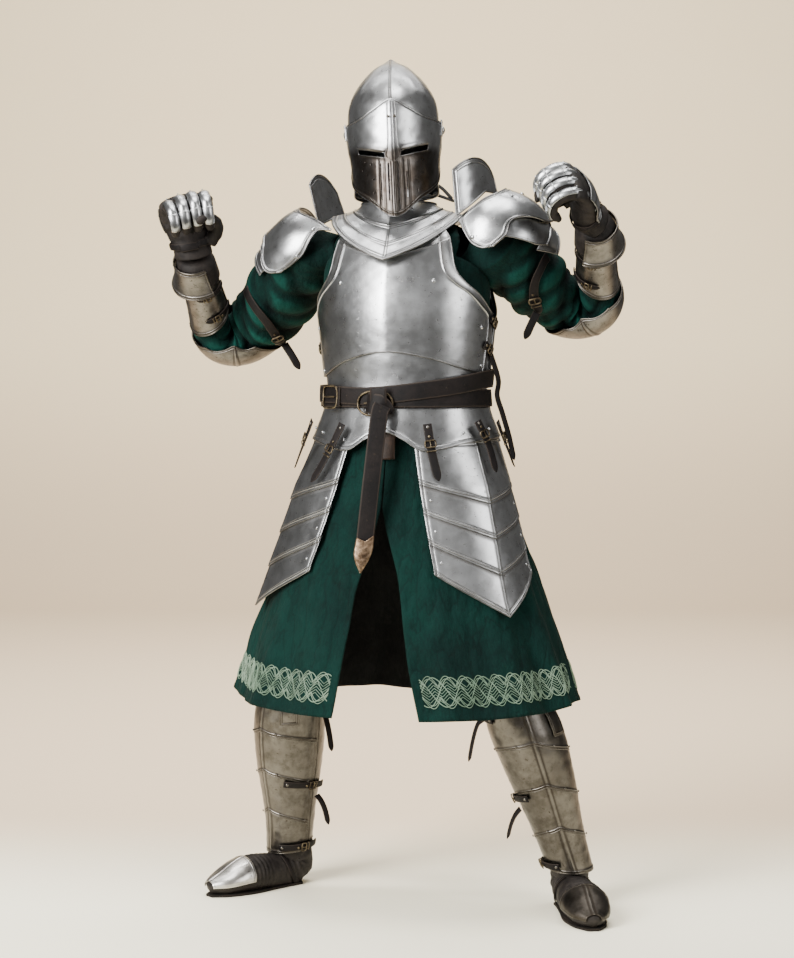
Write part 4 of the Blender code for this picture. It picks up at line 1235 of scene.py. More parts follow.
def eye_flare(k, t):
    """The metal rises to a lip over each sight, and upright flutes run down the face below."""
    u, v = visor.uv(k, t)
    height, shade = 0 * u, 0 * u
    for sight in SIGHTS:
        inside = ramp(u, sight.start - 8, sight.start + 4) * (1 - ramp(u, sight.end - 4, sight.end + 8))
        above = v - sight_level(sight, u)
        height = height + inside * (
            0.0030 * bell(above - 0.0105, 0.0055) - 0.0012 * bell(above + 0.012, 0.005)
        )
        # The lip is lighter, and the hollow under each sight is painted dark as shade
        shade = shade + inside * (0.40 * bell(above - 0.0095, 0.0026) - 0.45 * bell(above + 0.0095, 0.0045))
    face = ramp(1.580 - v, 0.0, 0.012)
    for flute in FLUTES:
        height = height - 0.0010 * face * bell(u - flute, 1.2)
        # The flutes' grooves are painted dark as shade
        shade = shade - 0.45 * face * bell(u - flute, 1.0)
    return height + 0.0022 * bell(u, 2.6) * face, shade + 0.12 * face * bell(u, 0.9) - 0.15 * face * bell(u, 16.0)


visor_obj = make_plate(
    "helm_visor", visor, (190, 70), "visor_steel", extra=eye_flare, body="visor",
    lines=[
        Line(("top",), 0.0044, 0.0013, -0.0011), Line(("bottom",), 0.0068, 0.0012, 0.0009),
        Line(("left", "right"), 0.0062, 0.0011, 0.0009),
    ],
    rolls=ALL_ROUND, roll=0.0010, worn=0.25,
)


# %% Cutting the sights and breaths
def prism(shape, outline, form, depth=0.012, lift=0.006):
    """A closed plug along the form's normal, over an outline of (u, v) pairs."""
    u, v = np.array(outline).T
    around = form.normal(u, v)
    middle = unit(around.mean(axis=0))
    base = to_world(form.lifted(u, v, lift + 0 * u))
    outer = [shape.verts.new(point) for point in base + middle * depth]
    inner = [shape.verts.new(point) for point in base - middle * depth]
    count = len(outline)
    for n in range(count):
        m = (n + 1) % count
        shape.faces.new((outer[n], outer[m], inner[m], inner[n]))
    shape.faces.new(outer[::-1])
    shape.faces.new(inner)


def slot_outline(u, low, high, half):
    """An upright slot with round ends, half degrees wide each way."""
    rise = half * 0.0019
    turns = np.radians(np.linspace(0, 180, 6))
    upper = [(u + half * math.cos(a), high - rise + rise * math.sin(a)) for a in turns]
    return upper + [(u - half * math.cos(a), low + rise - rise * math.sin(a)) for a in turns]


def sight_outline(sight):
    along = np.linspace(sight.start, sight.end, 13)
    across = (2 * along - sight.start - sight.end) / (sight.end - sight.start)
    half = 0.5 * sight.wide * (1 - 0.12 * across**8)
    level = sight_level(sight, along)
    return [*zip(along, level + half), *zip(along[::-1], (level - half)[::-1])]


def hole_outline(u, v, radius):
    turns = np.radians(np.arange(0, 360, 36))
    return [(u + radius / 0.0019 * math.cos(a), v + radius * math.sin(a)) for a in turns]


BREATHS = ((-15.5, 1.491, 1.566), (-5.5, 1.488, 1.566), (6.0, 1.468, 1.567), (16.5, 1.494, 1.547))
HOLES = (
    (-48, 1.578), (-38.5, 1.573), (-29, 1.567), (-26, 1.535), (-25.5, 1.507), (30, 1.568), (40, 1.573), (28.5, 1.535),
    (29.5, 1.508), (-36, 1.545), (-44, 1.556), (38, 1.546), (-2.8, 1.651), (2.8, 1.651), (-3.0, 1.631), (2.6, 1.631),
)
plugs = bmesh.new()
for sight in SIGHTS:
    prism(plugs, sight_outline(sight), helm_form, 0.016)
for u, low, high in BREATHS:
    prism(plugs, slot_outline(u, low, high, 0.62), helm_form)
for u, v in HOLES:
    prism(plugs, hole_outline(u, v, 0.0015), helm_form)
bmesh.ops.recalc_face_normals(plugs, faces=plugs.faces)
plug_mesh = bpy.data.meshes.new("plugs")
plugs.to_mesh(plug_mesh)
plugs.free()
plug_obj = bpy.data.objects.new("plugs", plug_mesh)
bpy.context.scene.collection.objects.link(plug_obj)


def opened(obj, cutter):
    before = len(obj.data.polygons)
    hole = obj.modifiers.new("holes", "BOOLEAN")
    hole.operation = "DIFFERENCE"
    hole.object = cutter
    baked(obj)
    print(obj.name, "faces", before, "to", len(obj.data.polygons), "once opened")
    return obj


opened(visor_obj, plug_obj)
for sight in SIGHTS:
    outline = np.array(sight_outline(sight))
    wire(
        to_world(helm_form.lifted(outline[:, 0], outline[:, 1], 0.0060)), 0.0007, "visor_steel", "visor",
        True
    )

# %% The nasal strip, the pivots and the lugs
strip_half = soft_knots((0.0, 4.6), (0.15, 5.0), (0.60, 5.2), (0.82, 6.4), (0.92, 8.6), (1.0, 8.0))
nasal = Plate(
    helm_form, lambda t: 0.8 - strip_half(t), lambda t: 0.8 + strip_half(t),
    lambda k: 1.694 - 0.004 * np.abs(2 * k - 1), lambda k: 1.567 + 0.012 * np.abs(2 * k - 1),
    flat(VISOR_LIFT + 0.0020),
)
make_plate(
    "visor_nasal_strip", nasal, (24, 60), "visor_steel", nodes=[], body="visor", wall=0.0018,
    lines=[Line(("left", "right"), 0.0030, 0.0007, -0.0007)], ridges=[Band(0.5, 0.0008, -0.0007)],
    rolls=("left", "right", "bottom"), roll=0.0007, worn=0.3,
)
bpy.data.objects.remove(plug_obj)
# Two dark pins hold the strip to the visor
for u in (-1.8, 3.4):
    spot = helm_form.lifted(u, 1.660, VISOR_LIFT + 0.0044)
    rivet(to_world(spot), helm_form.normal(u, 1.660), 0.0030, "steel_dark", "visor")
pivot_middle = helm_to_world(np.array([0, PIVOT_BACK, 0]))
helm_across = unit(helm_to_world(np.array([1.0, 0, 0])) - helm_to_world(np.zeros(3)))
for side, sign in (("right", -1), ("left", 1)):
    outward = helm_across * sign
    base = to_world(pivot_middle + outward * (PIVOT_HALF_SPAN + 0.0005))
    rivet(base, outward, 0.0085, "steel", "suit")
    for height in (1.634, 1.657):
        rivet(
            to_world(helm_form.lifted(84.0 * sign, height, VISOR_LIFT + 0.0022)), outward, 0.0028,
            "dull_steel", "visor"
        )
    lug = Plate(
        helm_form, flat(80.0 * sign), flat(89.0 * sign), flat(1.662), flat(1.628), flat(VISOR_LIFT + 0.0022)
    )
    make_plate(f"visor_lug_{side}", lug, (8, 10), "visor_steel", nodes=[], body="visor", wall=0.0020)


# %% [markdown]
# ## The gorget
# Two halves that meet at the sides, spreading from the neck to a point on the chest. Each of its
# three bands is set off by a raised line with a finer one beside it.

# %% The gorget's halves
def banded(*shares):
    pairs = []
    for share in shares:
        pairs += [Band(share, 0.0012, 0.0016), Band(share + 0.055, 0.0010, -0.0008)]
    return pairs


make_plate(
    "gorget_front", Plate(gorget_form, flat(-89.0), flat(89.0), flat(0.0), flat(1.0)), (70, 26), "steel",
    bands=banded(0.42, 0.72), lines=[
        Line(("bottom",), 0.0065, 0.0010, 0.0009)
    ], rolls=("top", "bottom"), roll=0.0021,
    ridges=[Band(0.5, 0.0014, 0.0007)],
)
make_plate(
    "gorget_back", Plate(gorget_form, flat(91.0), flat(269.0), flat(0.0), flat(1.0)), (50, 18), "steel",
    bands=banded(0.42, 0.72), rolls=("top", "bottom"), roll=0.0021,
)


# %% [markdown]
# ## The cuirass
# The breastplate is one piece with a soft keel and a border line that follows the neck and the
# armholes. Its arched lower edge lies over the belly plate. Four plates close the body, and a
# culet covers the small of the back.

# %% Breastplate and belly plate
BORDER = [Line(("left", "right"), 0.0265, 0.0014, 0.0018), Line(("top",), 0.0170, 0.0012, 0.0012)]
breast_edge = soft_knots(
    (1.128, 88.0), (1.250, 88.0), (1.272, 78.0), (1.300, 65.0), (1.315, 56.0),
    (1.340, 47.0), (1.385, 42.5), (1.430, 42.5)
)
breast_hem = soft_knots(
    (-88, 1.128), (-60, 1.134), (-30, 1.162), (0, 1.178), (30, 1.165), (60, 1.142), (88, 1.134)
)
breast = Plate(
    breast_form, lambda t: -breast_edge(mix(1.422, 1.130, t)), lambda t: breast_edge(mix(1.422, 1.130, t)),
    lambda k: 1.422 - 0.042 * np.maximum(
        0, 1 - np.abs(k * 85 - 42.5) / 45
    ), lambda k: breast_hem(k * 176 - 88),
    flat(BREAST_LIFT),
)
make_plate(
    "breastplate", breast, (64, 60), "steel", dents=0.00012,
    lines=BORDER, rolls=("left", "right", "top", "bottom"), roll=0.0018,
)
fauld_hem = soft_knots(
    (0.0, 0.995), (0.22, 0.984), (0.38, 0.968), (0.44, 0.992), (0.5, 1.008), (0.56, 0.992), (0.62, 0.968),
    (0.78, 0.984), (1.0, 0.995),
)
belly = Plate(
    coat_form, flat(-98.0), flat(98.0), flat(1.205), fauld_hem,
    lambda k, t: BELLY_LIFT + 0.015 * np.maximum(0.0, t - 0.55) / 0.45,
)
make_plate(
    "belly_plate", belly, (90, 40), "steel", dents=0.00012,
    lines=[Line(("bottom",), 0.0080, 0.0008, -0.0006)], rolls=("bottom", "left", "right"), roll=0.0014,
)

# %% Backplate and culet
back_edge = soft_knots((1.10, 88.0), (1.240, 86.0), (1.29, 66.0), (1.36, 48.0), (1.44, 43.0))
back = Plate(
    coat_form, lambda t: 180 - back_edge(
        mix(1.415, 1.13, t)
    ), lambda t: 180 + back_edge(mix(1.415, 1.13, t)),
    flat(1.415), flat(1.13), flat(BACK_LIFT),
)
make_plate(
    "backplate", back, (60, 50), "steel", dents=0.00012, lines=[
        *BORDER, Line(("bottom",), 0.0085, 0.0014, -0.0012)
    ],
    rolls=("left", "right", "top", "bottom"), roll=0.0026,
)
culet = Plate(
    coat_form, flat(104.0), flat(256.0), flat(1.122), flat(0.985), lambda k, t: BELLY_LIFT + 0.012 * t
)
make_plate(
    "culet", culet, (60, 26), "steel", bands=[Band(0.36, 0.0013, 0.0014), Band(0.68, 0.0013, 0.0014)],
    rolls=("bottom", "left", "right"), roll=0.0022,
)


# %% Rivets on the cuirass
def rivet_on(form, u, v, lift, size=0.0042, finish_name="steel", body="suit"):
    place = to_world(form.lifted(u, v, lift))
    rivet(place, form.normal(np.asarray(u, float), np.asarray(v, float)), size, finish_name, body)


for u, v in ((-33.5, 1.319), (31.0, 1.320), (72.0, 1.230), (76.0, 1.150), (-72.0, 1.230), (-68.0, 1.140)):
    rivet_on(breast_form, u, v, BREAST_LIFT, 0.0046)
for u in (-78, -52, -28, 28, 52, 78):
    rivet_on(coat_form, u, float(fauld_hem((u + 98) / 196)) + 0.022, BELLY_LIFT + 0.0135, 0.0034)
for u in (150, 180, 210):
    rivet_on(coat_form, u, 1.375, BACK_LIFT, 0.0044)
    rivet_on(coat_form, u, 1.150, BACK_LIFT, 0.0044)

# %% [markdown]
# ## The tassets
# Each tasset is four lames over the thigh, with one fold line that ends in a point. An upper lame
# lies over the one below it. Two fine lines follow each lower edge.

# %% Lames of the tassets
Tasset = namedtuple("Tasset", "side inner_top inner_end ridge outer_top outer_end")
TASSETS = [
    Tasset("right", -24.0, -33.0, -70.0, -100.0, -98.0),
    Tasset("left", 19.0, 25.0, 54.0, 99.0, 80.0),
]
LAME_INNER = (0.985, 0.900, 0.842, 0.780, 0.720)
LAME_RIDGE = (0.990, 0.856, 0.785, 0.713, 0.630)
LAME_OUTER = (0.995, 0.890, 0.828, 0.762, 0.716)
LAME_OVERLAP = 0.014


def tasset_lame(row, lame):
    share = abs(row.ridge - row.inner_end) / abs(row.outer_end - row.inner_end)
    overlap = LAME_OVERLAP if lame else 0.0
    heights = [
        (column[lame] + overlap, column[lame + 1]) for column in (LAME_INNER, LAME_RIDGE, LAME_OUTER)
    ]
    top = knots(*zip((0, share, 1), (pair[0] for pair in heights)))
    end = knots(*zip((0, share, 1), (pair[1] for pair in heights)))

    def fall(height):
        return np.clip((0.985 - height) / 0.25, 0, 1)

    def lift(k, t):
        ridge = 0.012 * np.maximum(0.0, 1 - np.abs(k - share) / 0.45)
        return 0.0190 - 0.0026 * lame + ridge * np.minimum(1.0, (0.99 - mix(top(k), end(k), t)) / 0.1)

    return share, Plate(
        coat_form,
        lambda t: mix(row.inner_top, row.inner_end, fall(mix(*heights[0], t))),
        lambda t: mix(row.outer_top, row.outer_end, fall(mix(*heights[2], t))),
        top, end, lift,
    )


for row in TASSETS:
    for lame in range(4):
        share, plate = tasset_lame(row, lame)
        lines = [Line(("bottom",), 0.0060, 0.0008, 0.0008), Line(("bottom",), 0.0105, 0.0007, -0.0006)]
        if lame == 0:
            lines += [Line(("top",), 0.0060, 0.0008, 0.0008), Line(("top",), 0.0110, 0.0007, -0.0006)]
        lines.append(Line(("left", "right"), 0.0070, 0.0008, -0.0006))
        above = tasset_lame(row, lame - 1)[1] if lame else None

        def under_the_edge(k, t):
            """Painted shadow of the lame above: dark where that lame ends, and fading downwards."""
            if above is None:
                return 0 * t, 0 * t
            scale = plate.length(k) / (plate.bottom(k) - plate.top(k))
            clear = (plate.uv(k, t)[1] - above.bottom(k)) * scale
            return 0 * t, -0.95 * (1 - ramp(clear, 0.001, 0.014))

        make_plate(
            f"tasset_{row.side}_{lame + 1}", plate, (44, 26), "steel", lines=lines,
            ridges=[Band(share, 0.0016, 0.0006)], rolls=("left", "right", "bottom"), extra=under_the_edge,
            roll=0.0016 if lame == 3 else 0.0010, dents=0.00012,
        )
        for k in (0.07, 0.93):
            place = plate.point(k, 0.55)
            if lame:
                rivet(to_world(place), plate.facing(k, 0.55), 0.0030)

# %% [markdown]
# ## Shoulders and arms
# A cup and two lames cover each shoulder, and a standing plate guards the neck. The elbow has a
# cop with a fold across it; the forearm is a closed tube that flares to the wrist.

# %% Shoulder cups, lames and standing plates
CUP_FRONT = {
    "right": soft_knots((0.0, 54.0), (0.2, 48.0), (0.32, 56.0), (0.6, 82.0), (1.0, 78.0)),
    "left": soft_knots((0.0, 16.0), (0.5, 45.0), (0.8, 55.0), (1.0, 48.0)),
}
CUP_NECK = {
    "right": soft_knots((0.0, 0.02), (0.2, 0.15), (0.4, 0.31), (1.0, 0.33)),
    "left": soft_knots((0.0, 0.10), (0.3, 0.25), (0.6, 0.32), (1.0, 0.32)),
}
CUP_END = {
    "right": soft_knots(
        (0.0, 0.56), (0.1, 0.66), (0.2, 0.66), (0.36, 0.58), (0.6, 0.60), (0.8, 0.66), (1.0, 0.58)
    ),
    "left": soft_knots(
        (0.0, 0.37), (0.16, 0.40), (0.31, 0.40), (0.4, 0.42), (0.5, 0.48), (0.7, 0.66), (1.0, 0.62)
    ),
}
ShoulderLame = namedtuple("ShoulderLame", "top end first last")
SHOULDER_LAMES = {
    "right": (ShoulderLame(0.48, 0.66, 46.0, 46.0), ShoulderLame(0.60, 0.78, 50.0, 50.0)),
    "left": (ShoulderLame(0.34, 0.66, 34.0, 0.0), ShoulderLame(0.58, 0.83, 18.0, -3.0)),
}
EDGE_LINE = [Line(("bottom",), 0.0075, 0.0011, 0.0012), Line(("top",), 0.0070, 0.0011, 0.0010)]
cups = {}
for side, form in shoulder_forms.items():
    fore = 1 if form.at(90.0, 0.4)[1] < form.at(-90.0, 0.4)[1] else -1
    front = CUP_FRONT[side]
    cups[side] = fore
    cup = Plate(
        form, lambda t: fore * front(t), flat(-84.0 * fore), CUP_NECK[side], CUP_END[side], flat(0.0140)
    )
    make_plate(
        f"spaulder_{side}", cup, (50, 30), "steel", lines=[
            *EDGE_LINE, Line(("left", "right"), 0.0070, 0.0011, 0.0010)
        ],
        rolls=("left", "right", "top", "bottom"), roll=0.0024, dents=0.00012,
    )
    for number, row in enumerate(SHOULDER_LAMES[side], 1):
        lame = Plate(
            form, lambda t: fore * mix(
                row.first, row.last, t
            ), flat(-80.0 * fore), flat(row.top), flat(row.end),
            flat(0.0105 - 0.0042 * number),
        )
        make_plate(
            f"shoulder_lame_{side}_{number}", lame, (40, 18), "steel", lines=[EDGE_LINE[0]],
            rolls=("left", "right", "bottom"), roll=0.0018,
        )
for u, v in ((79, 0.36), (44, 0.175), (-70, 0.40)):
    rivet_on(shoulder_forms["right"], u * cups["right"], v, 0.0145, 0.0048)
for u, v in ((-42, 0.27), (37, 0.37), (70, 0.42)):
    rivet_on(shoulder_forms["left"], -u * cups["left"], v, 0.0145, 0.0048)


class StandingForm(Form):
    """A wall that stands on a shoulder. u is 0 to 100 along its curve, v is 0 to 1 down it."""

    STEP_V = 0.01

    def __init__(self, front, bulge, rear, front_foot, foot, top, lean):
        self.plan = [np.array(pair) for pair in (front, bulge, rear)]
        self.feet, self.top, self.lean = (front_foot, foot), top, lean

    def core(self, v):
        middle = (self.plan[0] + self.plan[2]) / 2
        return stack(middle[0], middle[1], mix(self.top, self.feet[1], v))

    def at(self, u, v):
        u, v = np.broadcast_arrays(np.asarray(u, float) / 100, np.asarray(v, float))
        front, bulge, rear = self.plan
        share = u[..., None]
        plan = front * (1 - share) ** 2 + bulge * (2 * share * (1 - share)) + rear * share**2
        top = self.top - 0.030 * (2 * u - 0.95) ** 2
        foot = mix(*self.feet, np.minimum(1.0, u / 0.6))
        return stack(plan[..., 0] + self.lean * (1 - v), plan[..., 1], mix(top, foot, v))


STANDING = {
    "right": StandingForm((-0.166, 0.000), (-0.150, 0.085), (-0.112, 0.128), 1.446, 1.468, 1.560, -0.020),
    "left": StandingForm((0.123, -0.122), (0.184, -0.112), (0.212, -0.020), 1.459, 1.512, 1.579, -0.008),
}
for side, form in STANDING.items():
    make_plate(
        f"haute_piece_{side}", Plate(form, flat(0.0), flat(100.0), flat(0.0), flat(1.0)), (40, 20), "steel",
        lines=[
            Line(("top", "left", "right"), 0.0080, 0.0011, 0.0011)
        ], rolls=("top", "left", "right", "bottom"),
        roll=0.0022,
    )

# %% Elbows, forearms and cuffs
couter_wing = soft_knots((0.0, 88.0), (0.4, 116.0), (0.75, 108.0), (1.0, 62.0))
for side, form in arm_forms.items():
    elbow = Plate(
        form, lambda t: -couter_wing(t), couter_wing, flat(0.440), flat(0.625),
        lambda k, t: 0.009 + 0.008 * np.sin(np.pi * t)
    )
    make_plate(
        f"couter_{side}", elbow, (60, 40), "dull_steel", bands=[Band(0.5, 0.0030, 0.0016)],
        lines=[Line(ALL_ROUND, 0.0060, 0.0009, 0.0008)],
        rolls=ALL_ROUND, roll=0.0018,
    )
    rivet_on(form, 0.0, 0.475, 0.010, 0.0042, "dull_steel")
    rivet_on(form, 0.0, 0.572, 0.010, 0.0042, "dull_steel")
    forearm = Plate(
        form, flat(-172.0), flat(172.0), soft_knots((0, 0.72), (0.5, 0.655), (1, 0.72)), flat(0.925),
        flat(0.006)
    )
    make_plate(
        f"vambrace_{side}", forearm, (70, 30), "dull_steel", lines=[
            Line(("top", "bottom"), 0.0070, 0.0011, 0.0012)
        ],
        rolls=ALL_ROUND, roll=0.0019, ridges=[Band(0.5, 0.0030, 0.0014)],
    )
    cuff = Plate(
        form, flat(-115.0), flat(115.0), flat(0.885), flat(0.995), lambda k, t: 0.0150 + 0.013 * (1 - t) ** 2
    )
    make_plate(
        f"gauntlet_cuff_{side}", cuff, (54, 22), "dull_steel", lines=[
            Line(("top", "bottom"), 0.0065, 0.0011, 0.0012)
        ],
        rolls=ALL_ROUND, roll=0.0019,
    )
    for u in (-92, -45, 0, 45, 92):
        rivet_on(form, u, 0.982, 0.0155, 0.0030, "dull_steel")


# %% [markdown]
# ## Straps and buckles
# Straps hold every plate to the next. A strap is a ribbon laid along a path: its edges are worn
# pale and it swells a little in the middle. A buckle is a closed wire with a pin across it, and a
# keeper holds the free end.

# %% A strap along a path
def smooth_path(points, steps=10):
    return np.array([tuple(point) for point in flowing_path(points, steps)])


Ribbon = namedtuple("Ribbon", "points ahead across facing")


def ribbon(points, facings):
    """Frames along a path: the way ahead, the way across and the way out."""
    ahead = unit(np.gradient(points, axis=0))
    facings = unit(facings - np.sum(facings * ahead, axis=1, keepdims=True) * ahead)
    return Ribbon(points, ahead, unit(np.cross(ahead, facings)), facings)


def strap_object(name, path, width, wall=0.0026, finish_name="strap", nodes=(), body="suit", tip="point",
                 taper=None):
    """A strap over frames along its path; tip is its far end's shape."""
    run = np.concatenate([[0], np.cumsum(np.linalg.norm(np.diff(path.points, axis=0), axis=1))])
    left = run[-1] - run
    half = np.full(len(run), width / 2)
    if tip == "point":
        half = half * np.sqrt(np.clip(left / (width * 0.75), 0.02, 1.0))
    if taper is not None:
        half = half * taper(run / run[-1])
    share = np.array([-1, -0.88, -0.72, -0.4, 0, 0.4, 0.72, 0.88, 1])
    swell = 0.0009 * (1 - share**4)
    points = (
        path.points[:, None] + path.across[:, None] * (half[:, None] * share)[..., None]
        + path.facing[:, None] * (swell + wall)[None, :, None]
    )
    tone = np.broadcast_to(
        np.where(np.abs(share) > 0.8, 0.55, 0.0) - 0.35 * bell(np.abs(share) - 0.72, 0.1), points.shape[:2]
    )
    obj = grid_object(name, points, tone=tone.copy())
    middle = len(run) // 2
    face_away(obj, path.points[middle] - path.facing[middle] * 0.5)
    walled(obj, wall, [finishes[finish_name]])
    finish(obj, list(nodes), "leather", body)
    return obj


def on_form(form, spots, lift, steps=10):
    """A ribbon over (u, v) spots on a form; a spot may add its own lift."""
    spots = smooth_path([(*spot, 0)[:3] for spot in spots], steps)
    points = to_world(form.lifted(spots[:, 0], spots[:, 1], lift + spots[:, 2]))
    return ribbon(points, form.normal(spots[:, 0], spots[:, 1]))


def in_space(points, facing, steps=10):
    path = smooth_path(points, steps)
    return ribbon(to_world(path), np.broadcast_to(np.array(facing, float), path.shape))


def shift(path, along):
    """The frame at a share of the way along a ribbon."""
    row = int(round(along * (len(path.points) - 1)))
    return path.points[row], path.ahead[row], path.across[row], path.facing[row]


# %% Buckles, keepers, holes
def frame_points(middle, ahead, across, facing, half_long, half_wide, corner, bow=0.0):
    turns = np.radians(np.arange(0, 360, 9))
    x = np.sign(np.cos(turns)) * np.abs(np.cos(turns)) ** corner * half_long
    y = np.sign(np.sin(turns)) * np.abs(np.sin(turns)) ** corner * half_wide
    rise = bow * (1 - (y / half_wide) ** 2)
    return middle + ahead * x[:, None] + across * y[:, None] + facing * rise[:, None]


def buckle(path, along, width, radius=0.0016, finish_name="brass", corner=0.45, long=0.8, body="suit"):
    middle, ahead, across, facing = shift(path, along)
    middle = middle + facing * 0.0046
    half_wide, half_long = width * 0.62, width * 0.5 * long
    wire(
        frame_points(middle, ahead, across, facing, half_long, half_wide, corner, 0.001), radius,
        finish_name, body, True
    )
    back = middle - ahead * half_long
    wire(
        [back, middle + facing * 0.0012, middle + ahead * half_long * 1.08 + facing * 0.0012], radius * 0.7,
        finish_name, body
    )
    loop = middle + ahead * (half_long + width * 0.45) - facing * 0.0018
    wire(
        frame_points(loop, facing, across, ahead, 0.0028, width * 0.56, 0.4), 0.0011, finish_name, body,
        True
    )
    rivet(back - ahead * width * 0.5 + facing * -0.0010, facing, 0.0030, finish_name, body)


def holes_along(path, shares, radius=0.0017, body="suit", lift=0.0034):
    """Eyelets: a leather ring round each pin hole, with a dark disc in it."""
    for share in shares:
        middle, ahead, across, facing = shift(path, share)
        wire(
            frame_points(middle + facing * lift, ahead, across, facing, radius, radius, 1.0), 0.0006,
            "strap", body, True
        )
        rivet(middle + facing * (lift - 0.0004), facing, radius * 0.8, "sole", body)


# %% The two belts, with their buckles
def belt(name, middle, lift):
    angles = np.linspace(-180, 180, 181)
    heights = middle(angles)
    upper, lower = (coat_form.lifted(angles, heights + side * 0.020, lift) for side in (1, -1))
    share = np.array([0, 0.05, 0.12, 0.3, 0.5, 0.7, 0.88, 0.95, 1.0])
    facing = coat_form.normal(angles, heights)
    points = mix(
        upper[None], lower[None], share[:, None, None]
    ) + facing[None] * (0.0006 * (1 - (2 * share - 1) ** 4))[:, None, None]
    tone = np.broadcast_to(
        (
            np.where(np.abs(share - 0.5) > 0.42, 0.6, 0.0) - 0.4 * bell(np.abs(share - 0.5) - 0.36, 0.05)
        )[:, None],
        points.shape[:2]
    )
    obj = grid_object(name, to_world(points), tone=tone.copy())
    weld(obj)
    face_away(obj, to_world(coat_form.core(1.08)))
    walled(obj, 0.0030, [finishes["strap"]])
    finish(obj, [name], "leather")


belt("belt_lower", flat(1.080), LOWER_BELT_LIFT)
belt(
    "belt_upper",
    soft_knots(
        (-180, 1.118), (-110, 1.094), (-40, 1.088), (-10, 1.086), (40, 1.104), (80, 1.122), (130, 1.126),
        (180, 1.118)
    ),
    UPPER_BELT_LIFT,
)


def on_belt(angle, height, half_wide, half_tall, corner, lift):
    """A closed wire that lies on the belts round an angle and height."""
    reach = float(smooth(COAT, height, "front")) + UPPER_BELT_LIFT
    turns = np.radians(np.arange(0, 360, 7.5))
    x = np.sign(np.cos(turns)) * np.abs(np.cos(turns)) ** corner * half_wide
    z = np.sign(np.sin(turns)) * np.abs(np.sin(turns)) ** corner * half_tall
    return to_world(coat_form.lifted(angle + np.degrees(x / reach), height + z, lift + 0 * x))


BUCKLE_LIFT = UPPER_BELT_LIFT + 0.0045
wire(on_belt(-46.0, 1.083, 0.023, 0.026, 0.45, BUCKLE_LIFT), 0.0024, "brass", "suit", True)
wire(
    to_world(
        coat_form.lifted(
            np.array([-53.5, -48.0, -39.5]), 1.083 + np.zeros(3), BUCKLE_LIFT + np.array([0, 0.002, 0.002])
        )
    ),
    0.0016, "brass"
)
wire(on_belt(-6.5, 1.069, 0.031, 0.028, 0.9, BUCKLE_LIFT), 0.0024, "brass", "suit", True)
wire(
    to_world(
        coat_form.lifted(
            np.array([-13.5, -11.5, -9.5]), 1.069 + np.zeros(3),
            BUCKLE_LIFT + np.array([0.002, 0.003, 0.002])
        )
    ),
    0.0016, "brass"
)


def wrap(name, angle, height, half_tall, width, lift):
    """A leather keeper round the belts."""
    reach = float(smooth(COAT, height, "front")) + lift
    angles = angle + np.degrees(np.linspace(-width / 2, width / 2, 7) / reach)
    share = np.linspace(0, 1, 15)
    across = -np.cos(share * math.pi)
    out = lift + 0.0030 * np.sqrt(np.maximum(0, 1 - across**4))
    points = coat_form.lifted(angles[None, :], height + half_tall * across[:, None], out[:, None])
    edge = np.broadcast_to(np.where(np.abs(np.linspace(-1, 1, 7)) > 0.9, 0.6, 0.0), points.shape[:2])
    obj = grid_object(name, to_world(points), tone=edge.copy())
    face_away(obj, to_world(coat_form.core(height)))
    walled(obj, 0.0022, [finishes["strap"]])
    finish(obj, [], "leather")


wrap("belt_keeper_square", -36.5, 1.083, 0.023, 0.010, UPPER_BELT_LIFT + 0.002)
wrap("belt_keeper_ring", -2.6, 1.0860, 0.0190, 0.030, UPPER_BELT_LIFT + 0.0150)
strap_object(
    "belt_end",
    on_form(coat_form, [(-10.8, 1.069, 0.0), (-7.0, 1.067, 0.009), (-1.0, 1.063, 0.010), (3.0, 1.057, 0.004),
    (6.2, 1.049, 0.001)], UPPER_BELT_LIFT + 0.0060), 0.044, 0.0026,
)
for angle, height in (
    (-29, 1.085), (-5.5, 1.066), (14, 1.060), (33, 1.060), (27, 1.100), (42, 1.104), (56, 1.110)
):
    lift = UPPER_BELT_LIFT + (0.0190 if height == 1.066 else 0.0008)
    place = coat_form.lifted(float(angle), height, lift)
    facing = coat_form.normal(np.array(float(angle)), np.array(1.10))
    rivet(to_world(place), facing, 0.0022, "sole")

# %% The belt's hanging end and its tip
TAIL = [
    (-0.030, -0.170, 1.066), (-0.036, -0.176, 1.050), (-0.044, -0.186, 0.985), (-0.056, -0.196, 0.880),
    (-0.066, -0.200, 0.785)
]
tail_across = unit(np.array([0.985, 0.0, 0.12]))
tail = in_space(TAIL, (0.02, -1.0, 0.06))
strap_object("belt_tail", tail, 0.036, 0.0028, nodes=["belt_tail"], tip="square")
for place in np.linspace(0.12, 0.88, 8):
    middle, _, _, facing = shift(tail, place)
    rivet(middle + facing * 0.0016, facing, 0.0044, "sole")  # a dark eyelet
holes_along(tail, (0.16, 0.30, 0.45, 0.60, 0.74, 0.88), 0.0024)
chape_half = soft_knots(
    (0.0, 0.0185), (0.2, 0.0195), (0.45, 0.0190), (0.7, 0.0130), (0.9, 0.0050), (1.0, 0.0012)
)
down = np.linspace(0, 1, 26)
over = np.linspace(-1, 1, 13)
notch = 0.010 * (1 - np.abs(over))  # the top edge dips to a V
path = np.array(TAIL[-1]) + np.outer(down, (-0.010, 0.0, -0.075)) + np.array([0.001, -0.0045, 0.014])
half = chape_half(down)
chape = path[:, None] + tail_across * (half[:, None] * over)[..., None]
chape[..., 2] -= (notch * (1 - down[:, None]) ** 2)
ribs = 0.0009 * bell((down[:, None] * 5 + np.abs(over)) % 1.0 - 0.5, 0.16) * ramp(down[:, None], 0.1, 0.2)
chape[..., 1] -= 0.0035 * (1 - over**2) * np.minimum(1, half[:, None] / 0.01) + ribs
